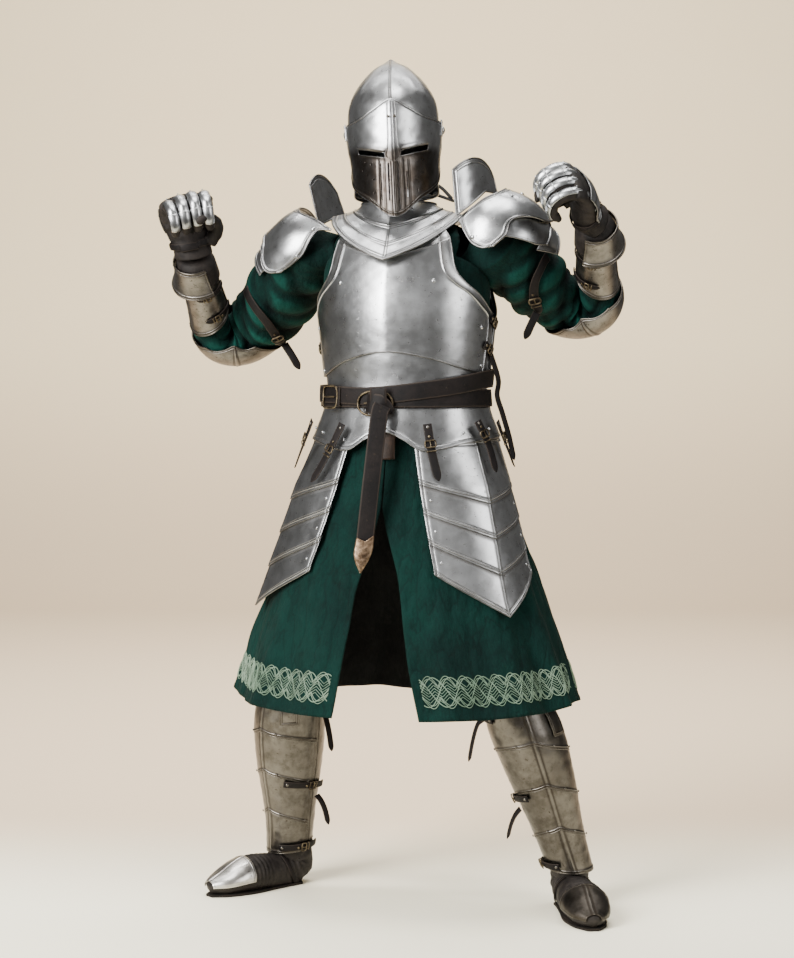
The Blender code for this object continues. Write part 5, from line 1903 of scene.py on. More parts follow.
chape_tone = np.clip(900 * ribs - 0.25, -0.3, 0.7) + 0.5 * (np.abs(over) > 0.9)
chape_obj = grid_object(
    "belt_chape", to_world(chape), tone=np.broadcast_to(chape_tone, chape.shape[:2]).copy()
)
face_away(chape_obj, to_world(path[10] + np.array([0, 0.3, 0])))
walled(chape_obj, 0.0040, [copper])
finish(chape_obj, ["belt_chape", "buckle_square", "buckle_ring"], "brass")

# %% Straps of the plates
STRAPS = [
    # name, form, spots, lift, width, where its buckle is
    (
        "tasset_strap_left_1", coat_form, [(27.2, 1.022), (28.0, 0.988), (29.0, 0.951), (31.0, 0.902)],
        0.0375, 0.018, 0.42
    ),
    (
        "tasset_strap_left_2", coat_form, [(60.5, 1.026), (63.5, 1.000), (66.0, 0.965), (66.0, 0.915)],
        0.0400, 0.018, 0.36
    ),
    (
        "tasset_strap_left_3", coat_form, [(86.0, 1.026), (90.0, 0.995), (95.0, 0.960), (99.0, 0.925)],
        0.0320, 0.018, 0.36
    ),
    (
        "tasset_strap_right_1", coat_form, [(-27.0, 1.022), (-32.0, 0.975), (-37.0, 0.930), (-42.0, 0.895)],
        0.0370, 0.018, 0.40
    ),
    (
        "side_strap_left_1", breast_form, [(82.0, 1.250), (90.0, 1.240), (98.0, 1.228)],
        BREAST_LIFT + 0.0020, 0.016, 0.35
    ),
    (
        "side_strap_left_2", breast_form, [(76.0, 1.196), (86.0, 1.182), (96.0, 1.166)],
        BREAST_LIFT + 0.0020, 0.016, 0.35
    ),
    (
        "side_strap_right_1", breast_form, [(-82.0, 1.196), (-90.0, 1.184), (-98.0, 1.170)],
        BREAST_LIFT + 0.0020, 0.016, 0.35
    ),
    (
        "tasset_strap_right_2", coat_form, [(-60.0, 1.026), (-65.0, 0.990), (-70.0, 0.955), (-75.0, 0.918)],
        0.0400, 0.018, 0.36
    ),
]
for name, form, spots, lift, width, place in STRAPS:
    path = on_form(form, spots, lift)
    strap_object(name, path, width, 0.0022)
    buckle(path, place, width)
    rivet(path.points[2] + path.facing[2] * 0.0026, path.facing[2], 0.0034, "dull_steel")
strap_object(
    "loose_strap", in_space([(
        0.196, -0.062, 1.172
    ), (0.212, -0.056, 1.120), (0.209, -0.070, 1.086), (0.220, -0.066, 1.050),
    (0.235, -0.056, 1.000), (0.246, -0.052, 0.950)], (0.55, -0.83, 0.0)), 0.013, 0.0022,
)
strap_object(
    "inner_strap", on_form(
        coat_form, [(1.2, 1.010), (1.2, 0.980), (1.6, 0.953)], 0.0050
    ), 0.034, 0.0024, "brown_strap", tip="square",
)
for number, (start, middle, end) in enumerate(
    (
        ((0.055, 0.058, 1.545), (0.090, 0.040, 1.532), (0.118, 0.000, 1.500)),
        ((0.050, 0.062, 1.528), (0.092, 0.048, 1.512), (0.126, 0.010, 1.496))
    ),
    1
):
    strap_object(f"neck_strap_{number}", in_space([start, middle, end], (0.2, -0.9, 0.5)), 0.009, 0.0024)
LIMB_STRAPS = [
    (
        "vambrace_strap_right_1", "right", [(-176, 0.86), (-140, 0.862), (-100, 0.858), (-72, 0.852)],
        0.0082, 0.013, 0.62
    ),
    (
        "vambrace_strap_right_2", "right", [(-178, 0.75), (-145, 0.752), (-110, 0.748), (-80, 0.742)],
        0.0082, 0.013, 0.62
    ),
    (
        "arm_strap_right", "right",
        [(-175, 0.280), (-130, 0.288), (-95, 0.315), (-69, 0.372), (-46, 0.412)], 0.0040, 0.020, 0.72
    ),
    (
        "vambrace_strap_left_1", "left", [(178, 0.86), (140, 0.862), (100, 0.858), (72, 0.852)], 0.0082,
        0.013, 0.62
    ),
    (
        "vambrace_strap_left_2", "left", [(178, 0.75), (145, 0.752), (110, 0.748), (80, 0.742)], 0.0082,
        0.013, 0.62
    ),
    (
        "arm_strap_left", "left", [(175, 0.178), (156, 0.165), (127, 0.174), (104, 0.224), (86, 0.310)],
        0.0040, 0.020, 0.8
    ),
]
for name, side, spots, lift, width, place in LIMB_STRAPS:
    path = on_form(arm_forms[side], spots, lift)
    strap_object(name, path, width, 0.0022)
    buckle(path, place, width)
for side, u, v, lean in (("right", -47.0, 0.405, 0.034), ("left", 84.0, 0.300, -0.026)):
    start = arm_forms[side].lifted(u, v, 0.0065)
    spots = [
        start, start + np.array([lean * 0.5, -0.006, -0.026]), start + np.array([lean, -0.004, -0.056])
    ]
    strap_object(f"arm_strap_end_{side}", in_space(spots, (0.1, -0.98, 0.1)), 0.017, 0.0022)


# %% [markdown]
# ## Gauntlets
# Each hand is a black leather glove with its own fingers, curled into a fist. Small lames cover
# every finger, and a wider plate covers the back of the hand. Each row of lames overlaps the next
# so that the fist can close.

# %% The hands' forms
Hand = namedtuple("Hand", "side along across palm shift")
HANDS = [  # across points from the forefinger to the little finger; shift moves the fist off the wrist
    Hand("right", (-0.12, -0.36, 0.92), (-0.88, -0.10, -0.35), 1, (0.0, 0.0, 0.0)),
    Hand("left", (-0.22, -0.70, 0.68), (0.30, -0.67, -0.67), -1, (-0.016, 0.0, -0.002)),
]
CURL = [
    (0.008, 0.0), (0.032, 0.0), (0.090, -0.003), (0.126, 0.016), (0.129, 0.050), (0.106, 0.076),
    (0.070, 0.064)
]
FINGER_CURL = [
    (0.074, 0.000), (0.096, -0.002), (0.124, 0.010), (0.137, 0.036), (0.128, 0.064), (0.102, 0.074),
    (0.074, 0.062)
]
THUMB = [
    (0.034, -0.036, 0.012), (0.062, -0.056, 0.028), (0.092, -0.052, 0.052), (0.104, -0.032, 0.076),
    (0.102, -0.008, 0.086)
]
FINGERS = [(-0.0405, 1.00), (-0.0137, 1.04), (0.0134, 1.00), (0.0392, 0.90)]  # place across, and length
FINGER = [
    Part(0.0, 0.0130, 0.0130, 0.0138), Part(0.5, 0.0124, 0.0122, 0.0131), Part(0.9, 0.0106, 0.0106, 0.0112),
    Part(1.0, 0.0062, 0.0062, 0.0068)
]
THUMB_PARTS = [
    Part(0.0, 0.0180, 0.0150, 0.0170), Part(0.5, 0.0135, 0.0130, 0.0140), Part(0.9, 0.0120, 0.0110, 0.0120),
    Part(1.0, 0.0070, 0.0070, 0.0070)
]


def outside_up(path, across, sections, palm):
    """The limb form whose u = 0 side faces away from the palm."""
    form = LimbForm(path, across, sections)
    if np.dot(np.cross(form.ahead(0.2), form.across), palm) > 0:
        form = LimbForm(path, -np.array(across), sections)
    return form


def tube_piece(name, form, rows, around, finish_name, crease, nodes=(), start=0.0, end=0.985):
    """A closed glove part: a tube with creases across it and a round end."""
    u = np.linspace(0, 360, around + 1)[:-1]
    v = np.linspace(start, end, rows)[:, None]
    reach = crease * np.sin(
        v * form.length / 0.0042 * 1.3 + np.sin(np.radians(u)) * 1.5
    ) * ramp(v, start, start + 0.08)
    points = to_world(form.lifted(u, v, reach))
    tip = to_world(form.place(np.array(1.0)))
    obj = grid_object(name, points, closed=True, cap=tip)
    face_away(obj, to_world(form.core(0.4)))
    walled(obj, 0.0014, [finishes[finish_name]])
    return finish(obj, list(nodes), "leather")


def rim_free_plate(
    name, form, u, top, bottom, lift, cells=(14, 8), bands=(), finish_name="steel", roll=0.0
):
    plate = Plate(form, flat(-u), flat(u), flat(top), flat(bottom), lift)
    return make_plate(
        name, plate, cells, finish_name, nodes=[], bands=bands, wall=0.0011, dents=0.0001, worn=0.2,
        rolls=("bottom",) if roll else (), roll=roll,
    )


hand_forms = {}
for row in HANDS:
    side = row.side
    wrist, moved = np.array(ARMS[side].wrist), np.array(row.shift)
    along = unit(np.array(row.along))
    across = np.array(row.across)
    across = unit(across - along * np.dot(across, along))
    palm = np.cross(along, across) * row.palm
    spots = [wrist + along * a + palm * p for a, p in CURL]
    hand = outside_up(flowing_path(spots[:1] + [spot + moved for spot in spots[1:]]), across, FIST, palm)
    hand_forms[side] = hand
    tube_piece(f"glove_{side}", hand, 46, 36, "glove", 0.0006, [f"glove_{side}"], 0.0, 0.56)
    # The glove's cuff fills the steel one and closes over the wrist
    turns, reaches = np.linspace(0, 360, 41)[:-1], np.linspace(0.90, 1.0, 12)[:, None]
    wrist_end = arm_forms[side].lifted(turns, reaches, 0.0125 - 0.006 * ramp(reaches, 0.97, 1.0))
    end = wrist_end[-1].mean(axis=0)
    inner = mix(wrist_end[-1], end, 0.35) + arm_forms[side].ahead(0.98) * 0.006
    tip = to_world(end + arm_forms[side].ahead(0.98) * 0.010)
    rings = to_world(np.concatenate([wrist_end, inner[None]]))
    glove_cuff = grid_object(f"glove_cuff_{side}", rings, closed=True, cap=tip)
    face_away(glove_cuff, to_world(arm_forms[side].core(0.95)))
    walled(glove_cuff, 0.0016, [finishes["glove"]])
    finish(glove_cuff, [], "leather")
    plate = Plate(
        hand, flat(-72.0), flat(72.0), flat(0.24), flat(0.46), lambda k,
        t: 0.0048 + 0.0012 * np.sin(np.pi * t)
    )
    make_plate(
        f"hand_plate_{side}", plate, (30, 16), "steel", bands=[
            Band(0.34, 0.0011, 0.0013), Band(0.70, 0.0011, 0.0013)
        ],
        rolls=ALL_ROUND, roll=0.0012, dents=0.0003,
    )
    for number, (u, top, bottom) in enumerate(((66, 0.10, 0.19), (70, 0.16, 0.27)), 1):
        rim_free_plate(
            f"wrist_lame_{side}_{number}", hand, u, top, bottom, flat(0.0060 - 0.0008 * number), (24, 8),
            roll=0.0010
        )
    for number, (place, long) in enumerate(FINGERS, 1):
        spots = [
            wrist + moved + along * (
                0.060 + (a - 0.060) * long
            ) + palm * p + across * place * (1 - 1.2 * max(0.0, p))
            for a, p in FINGER_CURL
        ]
        finger = outside_up(flowing_path(spots), across, FINGER, palm)
        tube_piece(f"glove_finger_{side}_{number}", finger, 40, 16, "glove", 0.0004)
        edges = (0.02, 0.17, 0.30, 0.43, 0.57, 0.70, 0.84)
        for lame, (top, bottom) in enumerate(zip(edges, edges[1:])):
            knuckle = 0.0016 if lame in (0, 2, 4) else 0.0
            obj = rim_free_plate(
                f"finger_lame_{side}_{number}_{lame + 1}", finger, 52.0, top, bottom + 0.030,
                lambda k, t: 0.0026 - 0.0018 * t + knuckle * np.sin(np.pi * t) * (
                    1 - (2 * k - 1) ** 2
                ), (12, 7),
            )
            if (number, lame) == (1, 0):
                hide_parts(f"finger_plates_{side}")
            if knuckle:
                rivet_on(finger, 0.0, (top + bottom) / 2 + 0.02, 0.0040 + knuckle, 0.0020)
    spots = [wrist + moved + along * a + across * c + palm * p for a, c, p in THUMB]
    outward = unit(palm * 0.3 - across)
    thumb_path = flowing_path(spots)
    thumb_across = unit(np.cross(outward, along))
    thumb = outside_up(thumb_path, thumb_across, THUMB_PARTS, -outward)
    tube_piece(f"glove_thumb_{side}", thumb, 36, 18, "glove", 0.0005)
    path = on_form(hand, [(-140, 0.10), (-175, 0.11), (150, 0.12), (110, 0.12)], 0.0025)
    strap_object(f"wrist_strap_{side}", path, 0.013, 0.0020)
    buckle(path, 0.5, 0.013)

# %% [markdown]
# ## Legs
# Four lames make each greave's front. Their lower edges dip in the middle, and a keel runs down
# the shin. A calf plate closes the back, and three buckled straps hold the two together.

# %% Greaves
def shin_edge(base, slope):
    """A lame's edge over the shin: lowest at the sides, with a point in the middle."""
    return lambda k: base + slope * np.abs(2 * k - 1) ** 1.3 - 0.012 * bell(2 * k - 1, 0.12)


SHIN_EDGES = ((0.235, 0.085), (0.485, 0.100), (0.745, 0.090), (1.0, 0.0))
for side, (shin, foot) in leg_form_pairs.items():
    low = flat(0.0)
    for number, (base, slope) in enumerate(SHIN_EDGES, 1):
        edge = shin_edge(base, slope) if number < 4 else lambda k: 1.0 + 0 * k
        start = (lambda low: lambda k: np.maximum(0.0, low(k) - 0.03))(low)
        lame = Plate(shin, flat(-100.0), flat(100.0), start, edge, flat(0.0030 - 0.0007 * number))
        lines = [Line(("bottom",), 0.0060, 0.0010, 0.0011)]
        if number == 1:
            lines += [Line(("top",), 0.0070, 0.0011, 0.0012), Line(("top",), 0.0120, 0.0009, 0.0008)]
        make_plate(
            f"greave_{side}_{number}", lame, (48, 20), "steel_shin", lines=lines, nodes=[f"greave_{side}"],
            ridges=[Band(0.5, 0.0026, 0.0008)], rolls=("left", "right", "bottom") + (
                ("top",) if number == 1 else ()
            ),
            roll=0.0013, dents=0.0003,
        )
        for u in (-88, -30, 30, 88):
            if number < 4:
                share = (u + 100) / 200
                rivet_on(shin, u, float(edge(share)) - 0.018, 0.0040, 0.0026, "steel_shin")
        low = edge
    calf = Plate(shin, flat(103.0), flat(257.0), flat(0.03), flat(0.97))
    make_plate(
        f"calf_plate_{side}", calf, (40, 50), "steel_shin", lines=[
            Line(ALL_ROUND, 0.0075, 0.0011, 0.0011)
        ],
        rolls=("left", "right", "top", "bottom"), roll=0.0018, dents=0.0006,
    )
    # A small winged plate guards the outside of the knee strap
    wing = Plate(
        shin, flat(36.0), flat(66.0), flat(0.040), flat(0.185), lambda k,
        t: 0.0052 + 0.0020 * np.sin(np.pi * t)
    )
    make_plate(
        f"shin_wing_{side}", wing, (16, 16), "steel_shin", nodes=[],
        lines=[Line(("left", "right", "top", "bottom"), 0.0050, 0.0009, 0.0009)],
        rolls=("left", "right", "top", "bottom"), roll=0.0012
    )
    lean = 1 if side == "right" else -1
    for number, (start, end, v, rise) in enumerate(
        ((58, 152, 0.10, 0.02), (42, 150, 0.545, 0.07), (30, 148, 0.955, 0.02)), 1
    ):
        spots = [(lean * mix(start, end, share), v + rise * share) for share in (0.0, 0.3, 0.6, 1.0)]
        path = on_form(shin, spots, 0.0052)
        strap_object(f"greave_strap_{side}_{number}", path, 0.015, 0.0022)
        buckle(path, 0.52, 0.015, radius=0.0014)
        rivet(path.points[2] + path.facing[2] * 0.0026, path.facing[2], 0.0036, "steel_shin")
    # Loose ends stand off the leg
    for number, (u, v, long) in enumerate(((104, 0.13, 0.085), (112, 0.66, 0.055)), 1):
        start = shin.lifted(lean * u, v, 0.0075)
        out = shin.normal(np.array(float(lean * u)), np.array(v))
        fall = np.array([0, 0, -1.0])
        spots = [
            start, start + out * 0.012 + fall * 0.010, start + out * 0.022 + fall * long * 0.5,
            start + out * 0.030 + fall * long
        ]
        facing = unit(out + np.array([0.0, -0.6, 0.3]))
        strap_object(f"greave_strap_end_{side}_{number}", in_space(spots, facing), 0.014, 0.0022)

# %% [markdown]
# ### Boots
# A leather boot with creases over the instep, a thin sole and a steel cap over the toes.

# %% Boots, soles and toe caps
for side, (shin, foot) in leg_form_pairs.items():
    u = np.linspace(0, 360, 61)[:-1]
    v = np.linspace(0.0, 0.985, 90)[:, None]
    crease = bell(v - 0.30, 0.10) * np.sin(
        v * 150 + 1.4 * np.sin(np.radians(u))
    ) + bell(v - 0.62, 0.08) * np.sin(v * 190 + np.sin(np.radians(2 * u)))
    ankle = ramp(v, 0.0, 0.03) * (1 - ramp(v, 0.85, 0.95))
    points = foot.lifted(u, v, 0.0024 * crease * ankle)
    points[..., 2] = np.maximum(points[..., 2], 0.0045)
    tip = foot.place(np.array(1.0))
    obj = grid_object(f"boot_{side}", to_world(points), closed=True, cap=to_world(tip))
    face_away(obj, to_world(foot.core(0.5)))
    walled(obj, 0.0025, [finishes["boot"]])
    finish(obj, [f"boot_{side}"], "leather")
    # The sole follows the widest outline of the foot
    v = np.linspace(0.30, 1.0, 40)
    sides = [foot.lifted(turn, v, 0.0006 + 0 * v) for turn in (66.0, -66.0)]
    heel = foot.lifted(np.array([40.0, 20.0, 0.0, -20.0, -40.0]), 0.30, 0.0)
    outline = np.vstack([sides[0], sides[1][::-1], heel[::-1]])[:, :2]
    shape = bmesh.new()
    lower = [shape.verts.new((x, y, FLOOR)) for x, y in outline]
    upper = [shape.verts.new((x, y, FLOOR + 0.0046)) for x, y in outline]
    shape.faces.new(lower)
    shape.faces.new(upper)
    for n in range(len(outline)):
        m = (n + 1) % len(outline)
        shape.faces.new((lower[n], lower[m], upper[m], upper[n]))
    bmesh.ops.recalc_face_normals(shape, faces=shape.faces)
    mesh = bpy.data.meshes.new(f"sole_{side}")
    shape.to_mesh(mesh)
    shape.free()
    sole = bpy.data.objects.new(f"sole_{side}", mesh)
    bpy.context.scene.collection.objects.link(sole)
    mesh.materials.append(finishes["sole"])
    finish(sole, [], "leather")
    cap = Plate(
        foot, flat(82.0), flat(278.0), lambda k: 0.715 - 0.02 * np.sin(np.pi * k), flat(0.992), flat(0.0040)
    )
    # Both caps are the same steel: the right one's lighter finish is painted light, and the left one's is darker
    make_plate(
        f"toe_cap_{side}", cap, (60, 30), "steel_toe" if side == "right" else "steel_dark", lines=[
            Line(("top",), 0.0050, 0.0009, 0.0006)
        ],
        ridges=[Band(0.5, 0.0020, 0.0008)], rolls=("top",), roll=0.0010, dents=0.0003,
    )
    # A thin strap runs round the heel and over the instep
    round_heel = on_form(
        foot, [(-150, 0.42), (-95, 0.40), (-45, 0.34), (0, 0.30), (45, 0.34), (95, 0.40), (150, 0.42)],
        0.0020
    )
    strap_object(f"heel_strap_{side}", round_heel, 0.010, 0.0020, tip="square")
# %% [markdown]
# ## The coat
# A green wool coat under the steel, open at the front below the belt, with near-black inside faces and an
# embroidered band near the hem. There are four panels and two sleeves. Their main
# folds are listed below, uneven in place, depth and length, because cloth never repeats.

# %% Folds, listed one by one
Fold = namedtuple("Fold", "angle depth width top lean")
FOLDS = [  # angle at the hem, depth, width in degrees, height where it starts, and lean up the skirt
    Fold(-84, 0.016, 5.0, 0.93, 6), Fold(-66, -0.011, 6.5, 0.80, -4), Fold(-47, 0.013, 5.0, 0.78, 8),
    Fold(-33, -0.006, 4.0, 0.66, -2), Fold(-21, 0.007, 4.0, 0.72, 3), Fold(13, 0.004, 3.5, 0.68, -1),
    Fold(26, 0.010, 4.5, 0.80, -3), Fold(38, -0.008, 5.0, 0.72, 4), Fold(52, 0.012, 5.5, 0.86, -6),
    Fold(66, -0.011, 4.5, 0.90, -3), Fold(77, 0.012, 4.5, 0.98, -8), Fold(86, -0.008, 4.0, 0.95, -9),
    Fold(100, 0.004, 6.0, 0.90, 3), Fold(119, -0.013, 7.0, 0.84, 5), Fold(134, 0.017, 6.0, 0.96, -5),
    Fold(153, -0.010, 6.0, 0.76, 3), Fold(167, 0.012, 5.0, 0.82, 6), Fold(184, -0.012, 7.0, 0.92, 2),
    Fold(201, 0.015, 6.0, 0.88, -6), Fold(220, -0.012, 6.0, 0.78, 3), Fold(236, 0.016, 6.5, 0.94, 5),
    Fold(254, -0.011, 5.0, 0.82, -4),
]
HEM = 0.448
HEM_DIP = 0.022
BAND_LOW, BAND_HIGH = 0.020, 0.086  # the embroidered band, above the hem


def drape(angle, height):
    """How far the skirt stands off its form, and fine wrinkles that grow towards the tassets."""
    wrapped = (angle + 100) % 360 - 100
    total = 0 * wrapped
    for fold in FOLDS:
        share = np.clip((fold.top - height) / (fold.top - HEM), 0, 1) ** 1.2
        centre = fold.angle + fold.lean * (height - HEM) / 0.5
        width = fold.width * (1.25 - 0.35 * share)
        for turn in (-360, 0, 360):
            total = total + fold.depth * share * bell(wrapped - centre + turn, width)
    # Wrinkles run slantwise, with sharp valleys between rounded tops
    slant = np.abs(np.sin(wrapped * 0.14 + height * 15 + 1.6 * np.sin(height * 9 + wrapped * 0.05)))
    fine = np.abs(np.sin(wrapped * 0.33 - height * 24 + 1.3 * np.sin(wrapped * 0.11 + height * 13)))
    calm = ramp(height, HEM - 0.01, HEM + 0.12)
    return total + calm * (0.0042 * slant + 0.0020 * fine - 0.0030)


def coat_height(angle, height):
    """The hem dips a little in front and behind."""
    share = np.maximum(0.0, (0.64 - height) / (0.64 - HEM))
    return height - share * HEM_DIP * np.abs(np.cos(np.radians(angle)))


SKIRT_TOP = 1.462
SEAM = 0.4
slit_right = soft_knots(
    (0.445, -12.5), (0.56, -10.5), (0.72, -7.4), (0.84, -1.2), (0.86, -0.4), (1.48, -0.4)
)
slit_left = soft_knots((0.445, 16.0), (0.56, 12.5), (0.72, 8.7), (0.84, 1.2), (0.86, 0.4), (1.48, 0.4))
coat_rows = np.concatenate([np.linspace(SKIRT_TOP, 1.0, 34), np.linspace(1.0, HEM, 90)[1:]])


def coat_panel(name, left, right, across):
    share = np.linspace(0, 1, across + 1)
    heights = coat_rows[:, None] + 0 * share
    angles = mix(left(heights), right(heights), share)
    low = coat_height(angles, heights)
    reach = drape(angles, low)
    # Under the plates the coat keeps to the CAD surface
    reach = reach * (1 - ramp(low, 0.86, 0.99))
    points = to_world(coat_form.lifted(angles, low, reach))
    edge = np.minimum(share, 1 - share) * np.radians(np.abs(right(heights) - left(heights))) * 0.3
    hem = low - low[-1]
    rolled = 0.0014 * bell(hem - 0.004, 0.004) + 0.0010 * bell(edge - 0.006, 0.005) * (low < 0.86)
    points = points + coat_form.normal(angles, low) * rolled[..., None]
    obj = grid_object(name, points)
    face_away(obj, to_world(coat_form.core(0.9)))
    walled(obj, 0.0022, [finishes["cloth"], finishes["lining"]])
    finish(obj, [name], "cloth")
    wide = float(np.linalg.norm(np.diff(points[-1], axis=0), axis=1).sum())
    return obj, wide


armhole_plugs = bpy.data.meshes.new("armholes")
plug_shape = bmesh.new()
for side, form in arm_forms.items():
    turns = np.arange(0, 360, 30.0)
    rings = [to_world(form.lifted(turns, v, 0.0030)) for v in (0.02, 0.16, 0.30)]
    rings.insert(0, rings[0] - form.ahead(0.1) * 0.075)
    verts = [[plug_shape.verts.new(point) for point in ring] for ring in rings]
    plug_shape.faces.new(verts[0][::-1])
    plug_shape.faces.new(verts[-1])
    for upper, lower in zip(verts, verts[1:]):
        for n in range(12):
            m = (n + 1) % 12
            plug_shape.faces.new((upper[n], upper[m], lower[m], lower[n]))
bmesh.ops.recalc_face_normals(plug_shape, faces=plug_shape.faces)
plug_shape.to_mesh(armhole_plugs)
plug_shape.free()
armhole_obj = bpy.data.objects.new("armholes", armhole_plugs)
bpy.context.scene.collection.objects.link(armhole_obj)

PANELS = [
    ("coat_front_right", flat(-92.0), slit_right, 110),
    ("coat_front_left", slit_left, flat(92.0), 110),
    ("coat_back_left", flat(92.0 + SEAM), flat(180.0 - SEAM), 100),
    ("coat_back_right", flat(180.0), flat(268.0 - SEAM), 100),
]
panels = {}
for name, left, right, across in PANELS:
    obj, wide = coat_panel(name, left, right, across)
    opened(obj, armhole_obj)
    panels[name] = (obj, wide)
bpy.data.objects.remove(armhole_obj)

# %% [markdown]
# ### Sleeves
# Each sleeve is a tube that bunches where the elbow bends and hangs slack under the upper arm.

# %% The sleeves
def sleeve(side):
    form = arm_forms[side]
    u = np.linspace(0, 360, 97)[:-1]
    v = np.linspace(0.0, 0.93, 140)[:, None]
    bend = bell(v - 0.46, 0.10)
    upper = ramp(v, 0.02, 0.10) * (1 - ramp(v, 0.62, 0.72))
    rings = np.abs(np.sin(v * 31 + 1.9 * np.sin(np.radians(u + 20))))
    crush = np.abs(np.sin(v * 62 + 1.3 * np.sin(np.radians(2 * u + 70))))
    slack = np.abs(np.sin(v * 17 + 2.4 * np.sin(np.radians(u - 60)) + np.radians(u) / 2))
    reach = upper * (0.0066 * rings + 0.0090 * slack - 0.0094)
    reach = reach + bend * 0.0090 * (crush - 0.6) * np.sin(np.radians(u) / 2) ** 2
    # The tone paints the folds: painted shade in their valleys and a painted highlight on their tops
    tone = upper * (
        0.9 * np.minimum(rings, 0.8) + 1.1 * np.minimum(slack, 0.8) - 1.15
    ) + bend * (crush - 0.75)
    u, v = np.broadcast_arrays(u, v)
    points = form.lifted(u, v, reach - 0.0008)
    # The head of the sleeve narrows towards the chest, under the coat
    middle = points[0].mean(axis=0)
    inside = mix(middle, coat_form.core(1.385), 0.42) + (points[0] - middle) * 0.6
    head = mix(inside[None], points[0][None], np.linspace(0, 1, 14)[:-1, None, None])
    points = to_world(np.concatenate([head, points]))
    # The sleeve's head, under the coat, is painted darker as shade
    tone = np.concatenate([np.full((13, 96), -0.4), np.clip(tone, -1, 1) + 0 * u])
    obj = grid_object(f"sleeve_{side}", points, closed=True, tone=tone)
    face_away(obj, to_world(form.core(0.2)))
    walled(obj, 0.0022, [finishes["cloth"], finishes["lining"]])
    finish(obj, [f"sleeve_{side}"], "cloth")
    around = np.linalg.norm(np.diff(points, axis=1, append=points[:, :1]), axis=-1).sum(axis=1)
    return obj, float(around.max()), form.length * 0.93


sleeves = {side: sleeve(side) for side in arm_forms}

# %% [markdown]
# ### The embroidered band
# The band is plaited strapwork: three strands that cross over and under, between two rows of
# arches, with chevrons in the middle.
# The over-and-under rule of a three-strand plait gives the pattern, so nothing is drawn by hand.
# The strands are worked flat, in metres along the hem, and then laid on the cloth.

# %% A plait, laid along the hem
PLAIT_PITCH = 0.096
PLAIT_HALF = 0.0265
THREAD = 0.0009


def on_panel(left, right, along, up):
    """A place on the coat: along is the share of the way from its left edge, up is above the hem."""
    height = HEM + np.asarray(up, float)
    angle = mix(left(height), right(height), along)
    low = coat_height(angle, height)
    # The dip fades upwards, so the band keeps its distance from the hem
    lift = drape(angle, low) * (1 - ramp(low, 0.86, 0.99))
    facing = coat_form.normal(angle, low)
    return coat_form.lifted(angle, low, lift), facing


def plait(name, left, right, wide):
    """Three strands with rows of chevrons in them, as ribbons of thread a little proud of the cloth."""
    points, faces = [], []

    def strand(along, up, over, half):
        middle, facing = on_panel(left, right, along, up)
        ahead = unit(np.gradient(middle, axis=0))
        across = unit(np.cross(ahead, facing))
        first = len(points)
        section = ((-1.0, 0.0001), (-0.5, 0.0009), (0.5, 0.0009), (1.0, 0.0001))
        for row in range(len(middle)):
            for side, rise in section:
                points.append(
                    middle[row] + across[row] * half * side + facing[row] * (rise + over[row] + 0.0004)
                )
        for row in range(len(middle) - 1):
            for n in range(3):
                a = first + row * 4 + n
                faces.append((a, a + 1, a + 5, a + 4))

    margin = 0.016 / wide
    count = max(2, round((wide - 0.032) / PLAIT_PITCH))
    steps = count * 64
    share = np.linspace(0, 1, steps + 1)
    along = mix(margin, 1 - margin, share)
    middle_up = (BAND_LOW + BAND_HIGH) / 2
    for number in range(3):
        # The strands cross over and under by turns. Each is an outline of two threads.
        phase = math.tau * (share * count + number / 3)
        wave = middle_up + PLAIT_HALF * np.sin(phase)
        strand(along, wave, 0.0005 * (1 + np.cos(2 * phase + 1.0)), THREAD)
    # Two rows of arches stand back to back, each an outline of two threads
    arch = np.abs(np.sin(math.pi * (share * count * 3)))
    for side in (-1, 1):
        for spring, height in ((0.0105, 0.0185), (0.0075, 0.0165)):
            strand(along, middle_up + side * (spring + height * arch), 0.0004 + 0 * share, THREAD * 0.8)
    # Veins: rows of chevrons that follow each other through the middle of the plait
    zigzag = np.abs((share * count * 4) % 1 - 0.5) * 4 - 1
    for level in (-0.014, -0.0085, -0.003, 0.0025, 0.008, 0.0135):
        strand(along, middle_up + level + 0.0052 * zigzag, 0.0002 + 0 * share, THREAD * 0.62)
    mesh = bpy.data.meshes.new(name)
    mesh.from_pydata([tuple(p) for p in to_world(points)], [], faces)
    mesh.uv_layers.new(name="UVMap")
    mesh.shade_smooth()
    obj = linked(name, mesh)
    face_away(obj, to_world(coat_form.core(0.5)))
    walled(obj, 0.0004, [thread])
    finish(obj, [], "cloth")
    print(name, count, "repeats", len(obj.data.polygons), "faces")
    return obj


bands = {
    name: plait(name.replace("coat", "band"), left, right, panels[name][1]) for name, left, right,
    _ in PANELS
}


# %% What each sheet of cloth was cut to
def cloth_area(obj):
    """Half of a thin wall's surface is one side of the sheet."""
    return sum(face.area for face in obj.data.polygons) / 2


# A panel's length is the coat's upright height, with 2 cm allowed for the slope of the cloth. Its
# width is its hem's. A sleeve's length is taken as a share of the arm's path.
LONG = SKIRT_TOP - HEM
for name, (obj, wide) in panels.items():
    area = cloth_area(obj)
    width = max(wide, area / LONG * 1.02)
    print(name, "flat", round(width, 3), "by", round(LONG + 0.02, 3), "area", round(area, 3))
for side, (obj, around, length) in sleeves.items():
    area = cloth_area(obj)
    round(max(length, area / around), 3)
    round(area * 0.999, 4)
    print("sleeve", side, "flat", round(around, 3), "by", round(length, 3), "area", round(area, 3))


# %% [markdown]
# ## Rolled edges, wires and rivets become metal
# Everything that the cells above asked for is made here, one object for each finish and body.

# %% Bake the tubes and heads
def sorted_by(rows):
    groups = {}
    for row in rows:
        groups.setdefault((row.finish, row.body), []).append(row)
    return sorted(groups.items())


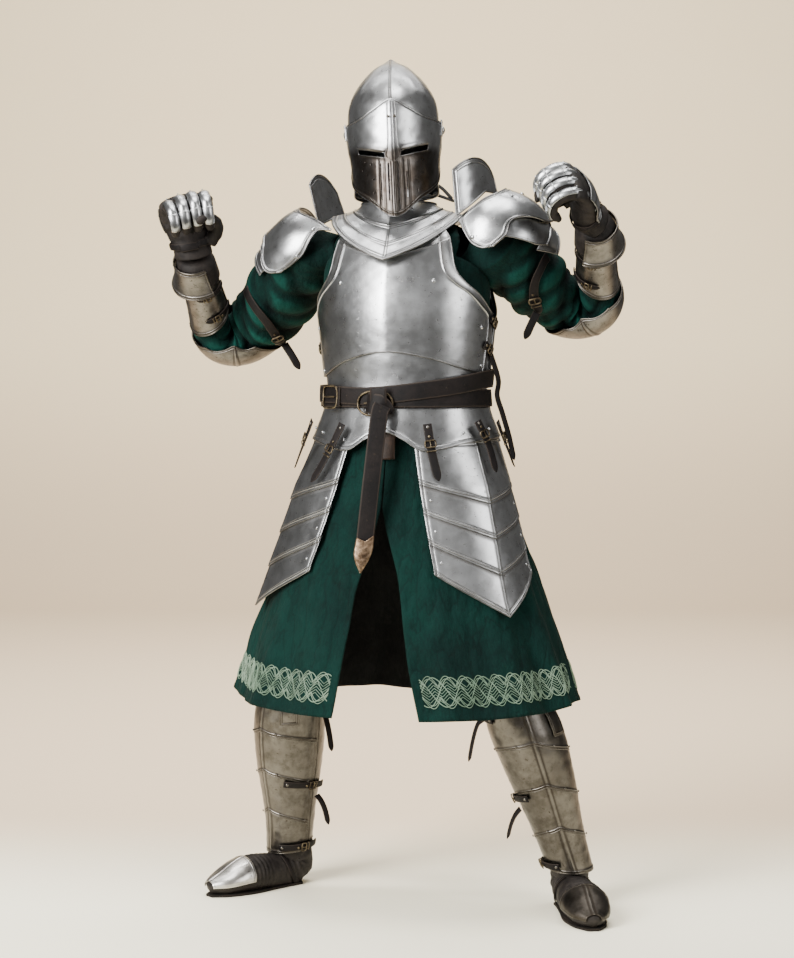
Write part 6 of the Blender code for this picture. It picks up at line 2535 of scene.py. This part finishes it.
for (finish_name, body), rows in sorted_by(rims):
    obj = tubes_from(f"edges_{finish_name}_{body}", rows, finishes[finish_name])
    finish(obj, [], finish_slots[finish_name], body)
    print(obj.name, len(rows), "paths", len(obj.data.polygons), "faces")
for (finish_name, body), rows in sorted_by(rivets):
    obj = heads_from(f"rivets_{finish_name}_{body}", rows, finishes[finish_name])
    nodes = ["visor_pivot_right", "visor_pivot_left"] if (finish_name, body) == ("steel", "suit") else []
    finish(obj, nodes, finish_slots[finish_name], body)
    print(obj.name, len(rows), "heads")


# %% [markdown]
# ## What is left of the CAD model
# Nodes with no piece of their own yet keep their CAD shape and take a finish.

# %% Finish for carried-over nodes
CARRIED = (("buckle", "brass"), (
    "belt_chape", "copper"
), ("belt", "strap"), ("glove", "glove"), ("boot", "boot"),
           ("coat", "cloth"), ("sleeve", "cloth"))
for name, obj in frame["nodes"].items():
    if not obj.hide_render:
        start = [kind for kind in CARRIED if name.startswith(kind[0])]
        material = finishes[start[0][1]] if start else steel_aged
        obj.data.materials.clear()
        obj.data.materials.append(material)
        print("carried over", name, material.name)

# %% [markdown]
# ## Floor, light and camera
# A pale floor that curves up behind, painted darker as shade far back, a large soft light on each side, and a faint
# warm sky.

# %% The stage
def sweep_floor():
    """A floor that curves up into a backdrop far behind."""
    rows = [(-1.0, 0.0)] + [
        (6.0 + 2.5 * math.sin(a), 2.5 - 2.5 * math.cos(a)) for a in np.linspace(0, math.pi / 2, 13)
    ]
    rows.append((8.5, 9.0))
    points = np.array([[(x, y, FLOOR - 0.0005 + z) for x in (-2.8, 2.8)] for y, z in rows])
    return grid_object("floor", points)


floor = sweep_floor()
s = Shader("floor_paint")
_, deep, high = s.split(s.place)
# The floor is painted bright near the suit and darker far behind it, as painted shade
ground = s.colours(s.part(deep, -0.15, 1.0), tint(255, 249, 224), tint(216, 194, 163))
wall = s.colours(s.noise(3.0), tint(255, 235, 194), tint(253, 231, 189))
paint = s.colours(s.part(high, -1.3, 0.2), ground, wall)
floor.data.materials.append(s.finish(Base_Color=paint, Roughness=0.75))
floor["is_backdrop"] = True
world = bpy.data.worlds.new("sky")
bpy.context.scene.world = world
world.use_nodes = True
world.node_tree.nodes["Background"].inputs["Color"].default_value = (1.0, 0.97, 0.93, 1.0)
world.node_tree.nodes["Background"].inputs["Strength"].default_value = 0.14


def softbox(name, place, target, size, power, colour=(1.0, 0.985, 0.965)):
    data = bpy.data.lights.new(name, "AREA")
    data.shape = "RECTANGLE"
    data.size, data.size_y = size
    data.energy = power
    data.color = colour
    light = bpy.data.objects.new(name, data)
    light.location = place
    light.rotation_euler = (Vector(target) - Vector(place)).to_track_quat("-Z", "Y").to_euler()
    bpy.context.scene.collection.objects.link(light)


softbox("key", (-3.0, -3.2, 1.2), (0, 0, -0.4), (2.0, 3.6), 680)
softbox("fill", (3.3, -2.9, 0.9), (0, 0, -0.4), (1.5, 3.4), 120)
softbox("front", (0.0, -6.6, 0.7), (0, 0, -0.4), (4.0, 3.4), 30)
softbox("top", (0.0, -0.6, 3.4), (0, 0, -0.5), (2.6, 1.8), 185)
softbox("backdrop", (0.0, 1.6, 3.6), (0, 6.5, 0.4), (4.0, 1.5), 620)
softbox("backdrop_low", (0.0, 2.6, 2.6), (0, 4.6, -1.4), (4.0, 1.5), 70)

# %% The camera
camera_data = bpy.data.cameras.new("camera")
camera_data.lens = 80.19
camera_data.sensor_width = 36.0
camera = bpy.data.objects.new("camera", camera_data)
camera.location = (0.0, -4.55, -0.34)
camera.rotation_euler = (math.radians(90 - 2.415), 0.0, 0.0)
bpy.context.scene.collection.objects.link(camera)
bpy.context.scene.camera = camera

# %% Sizes
low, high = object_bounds()
print("box", [round(x, 4) for x in low], [round(x, 4) for x in high])
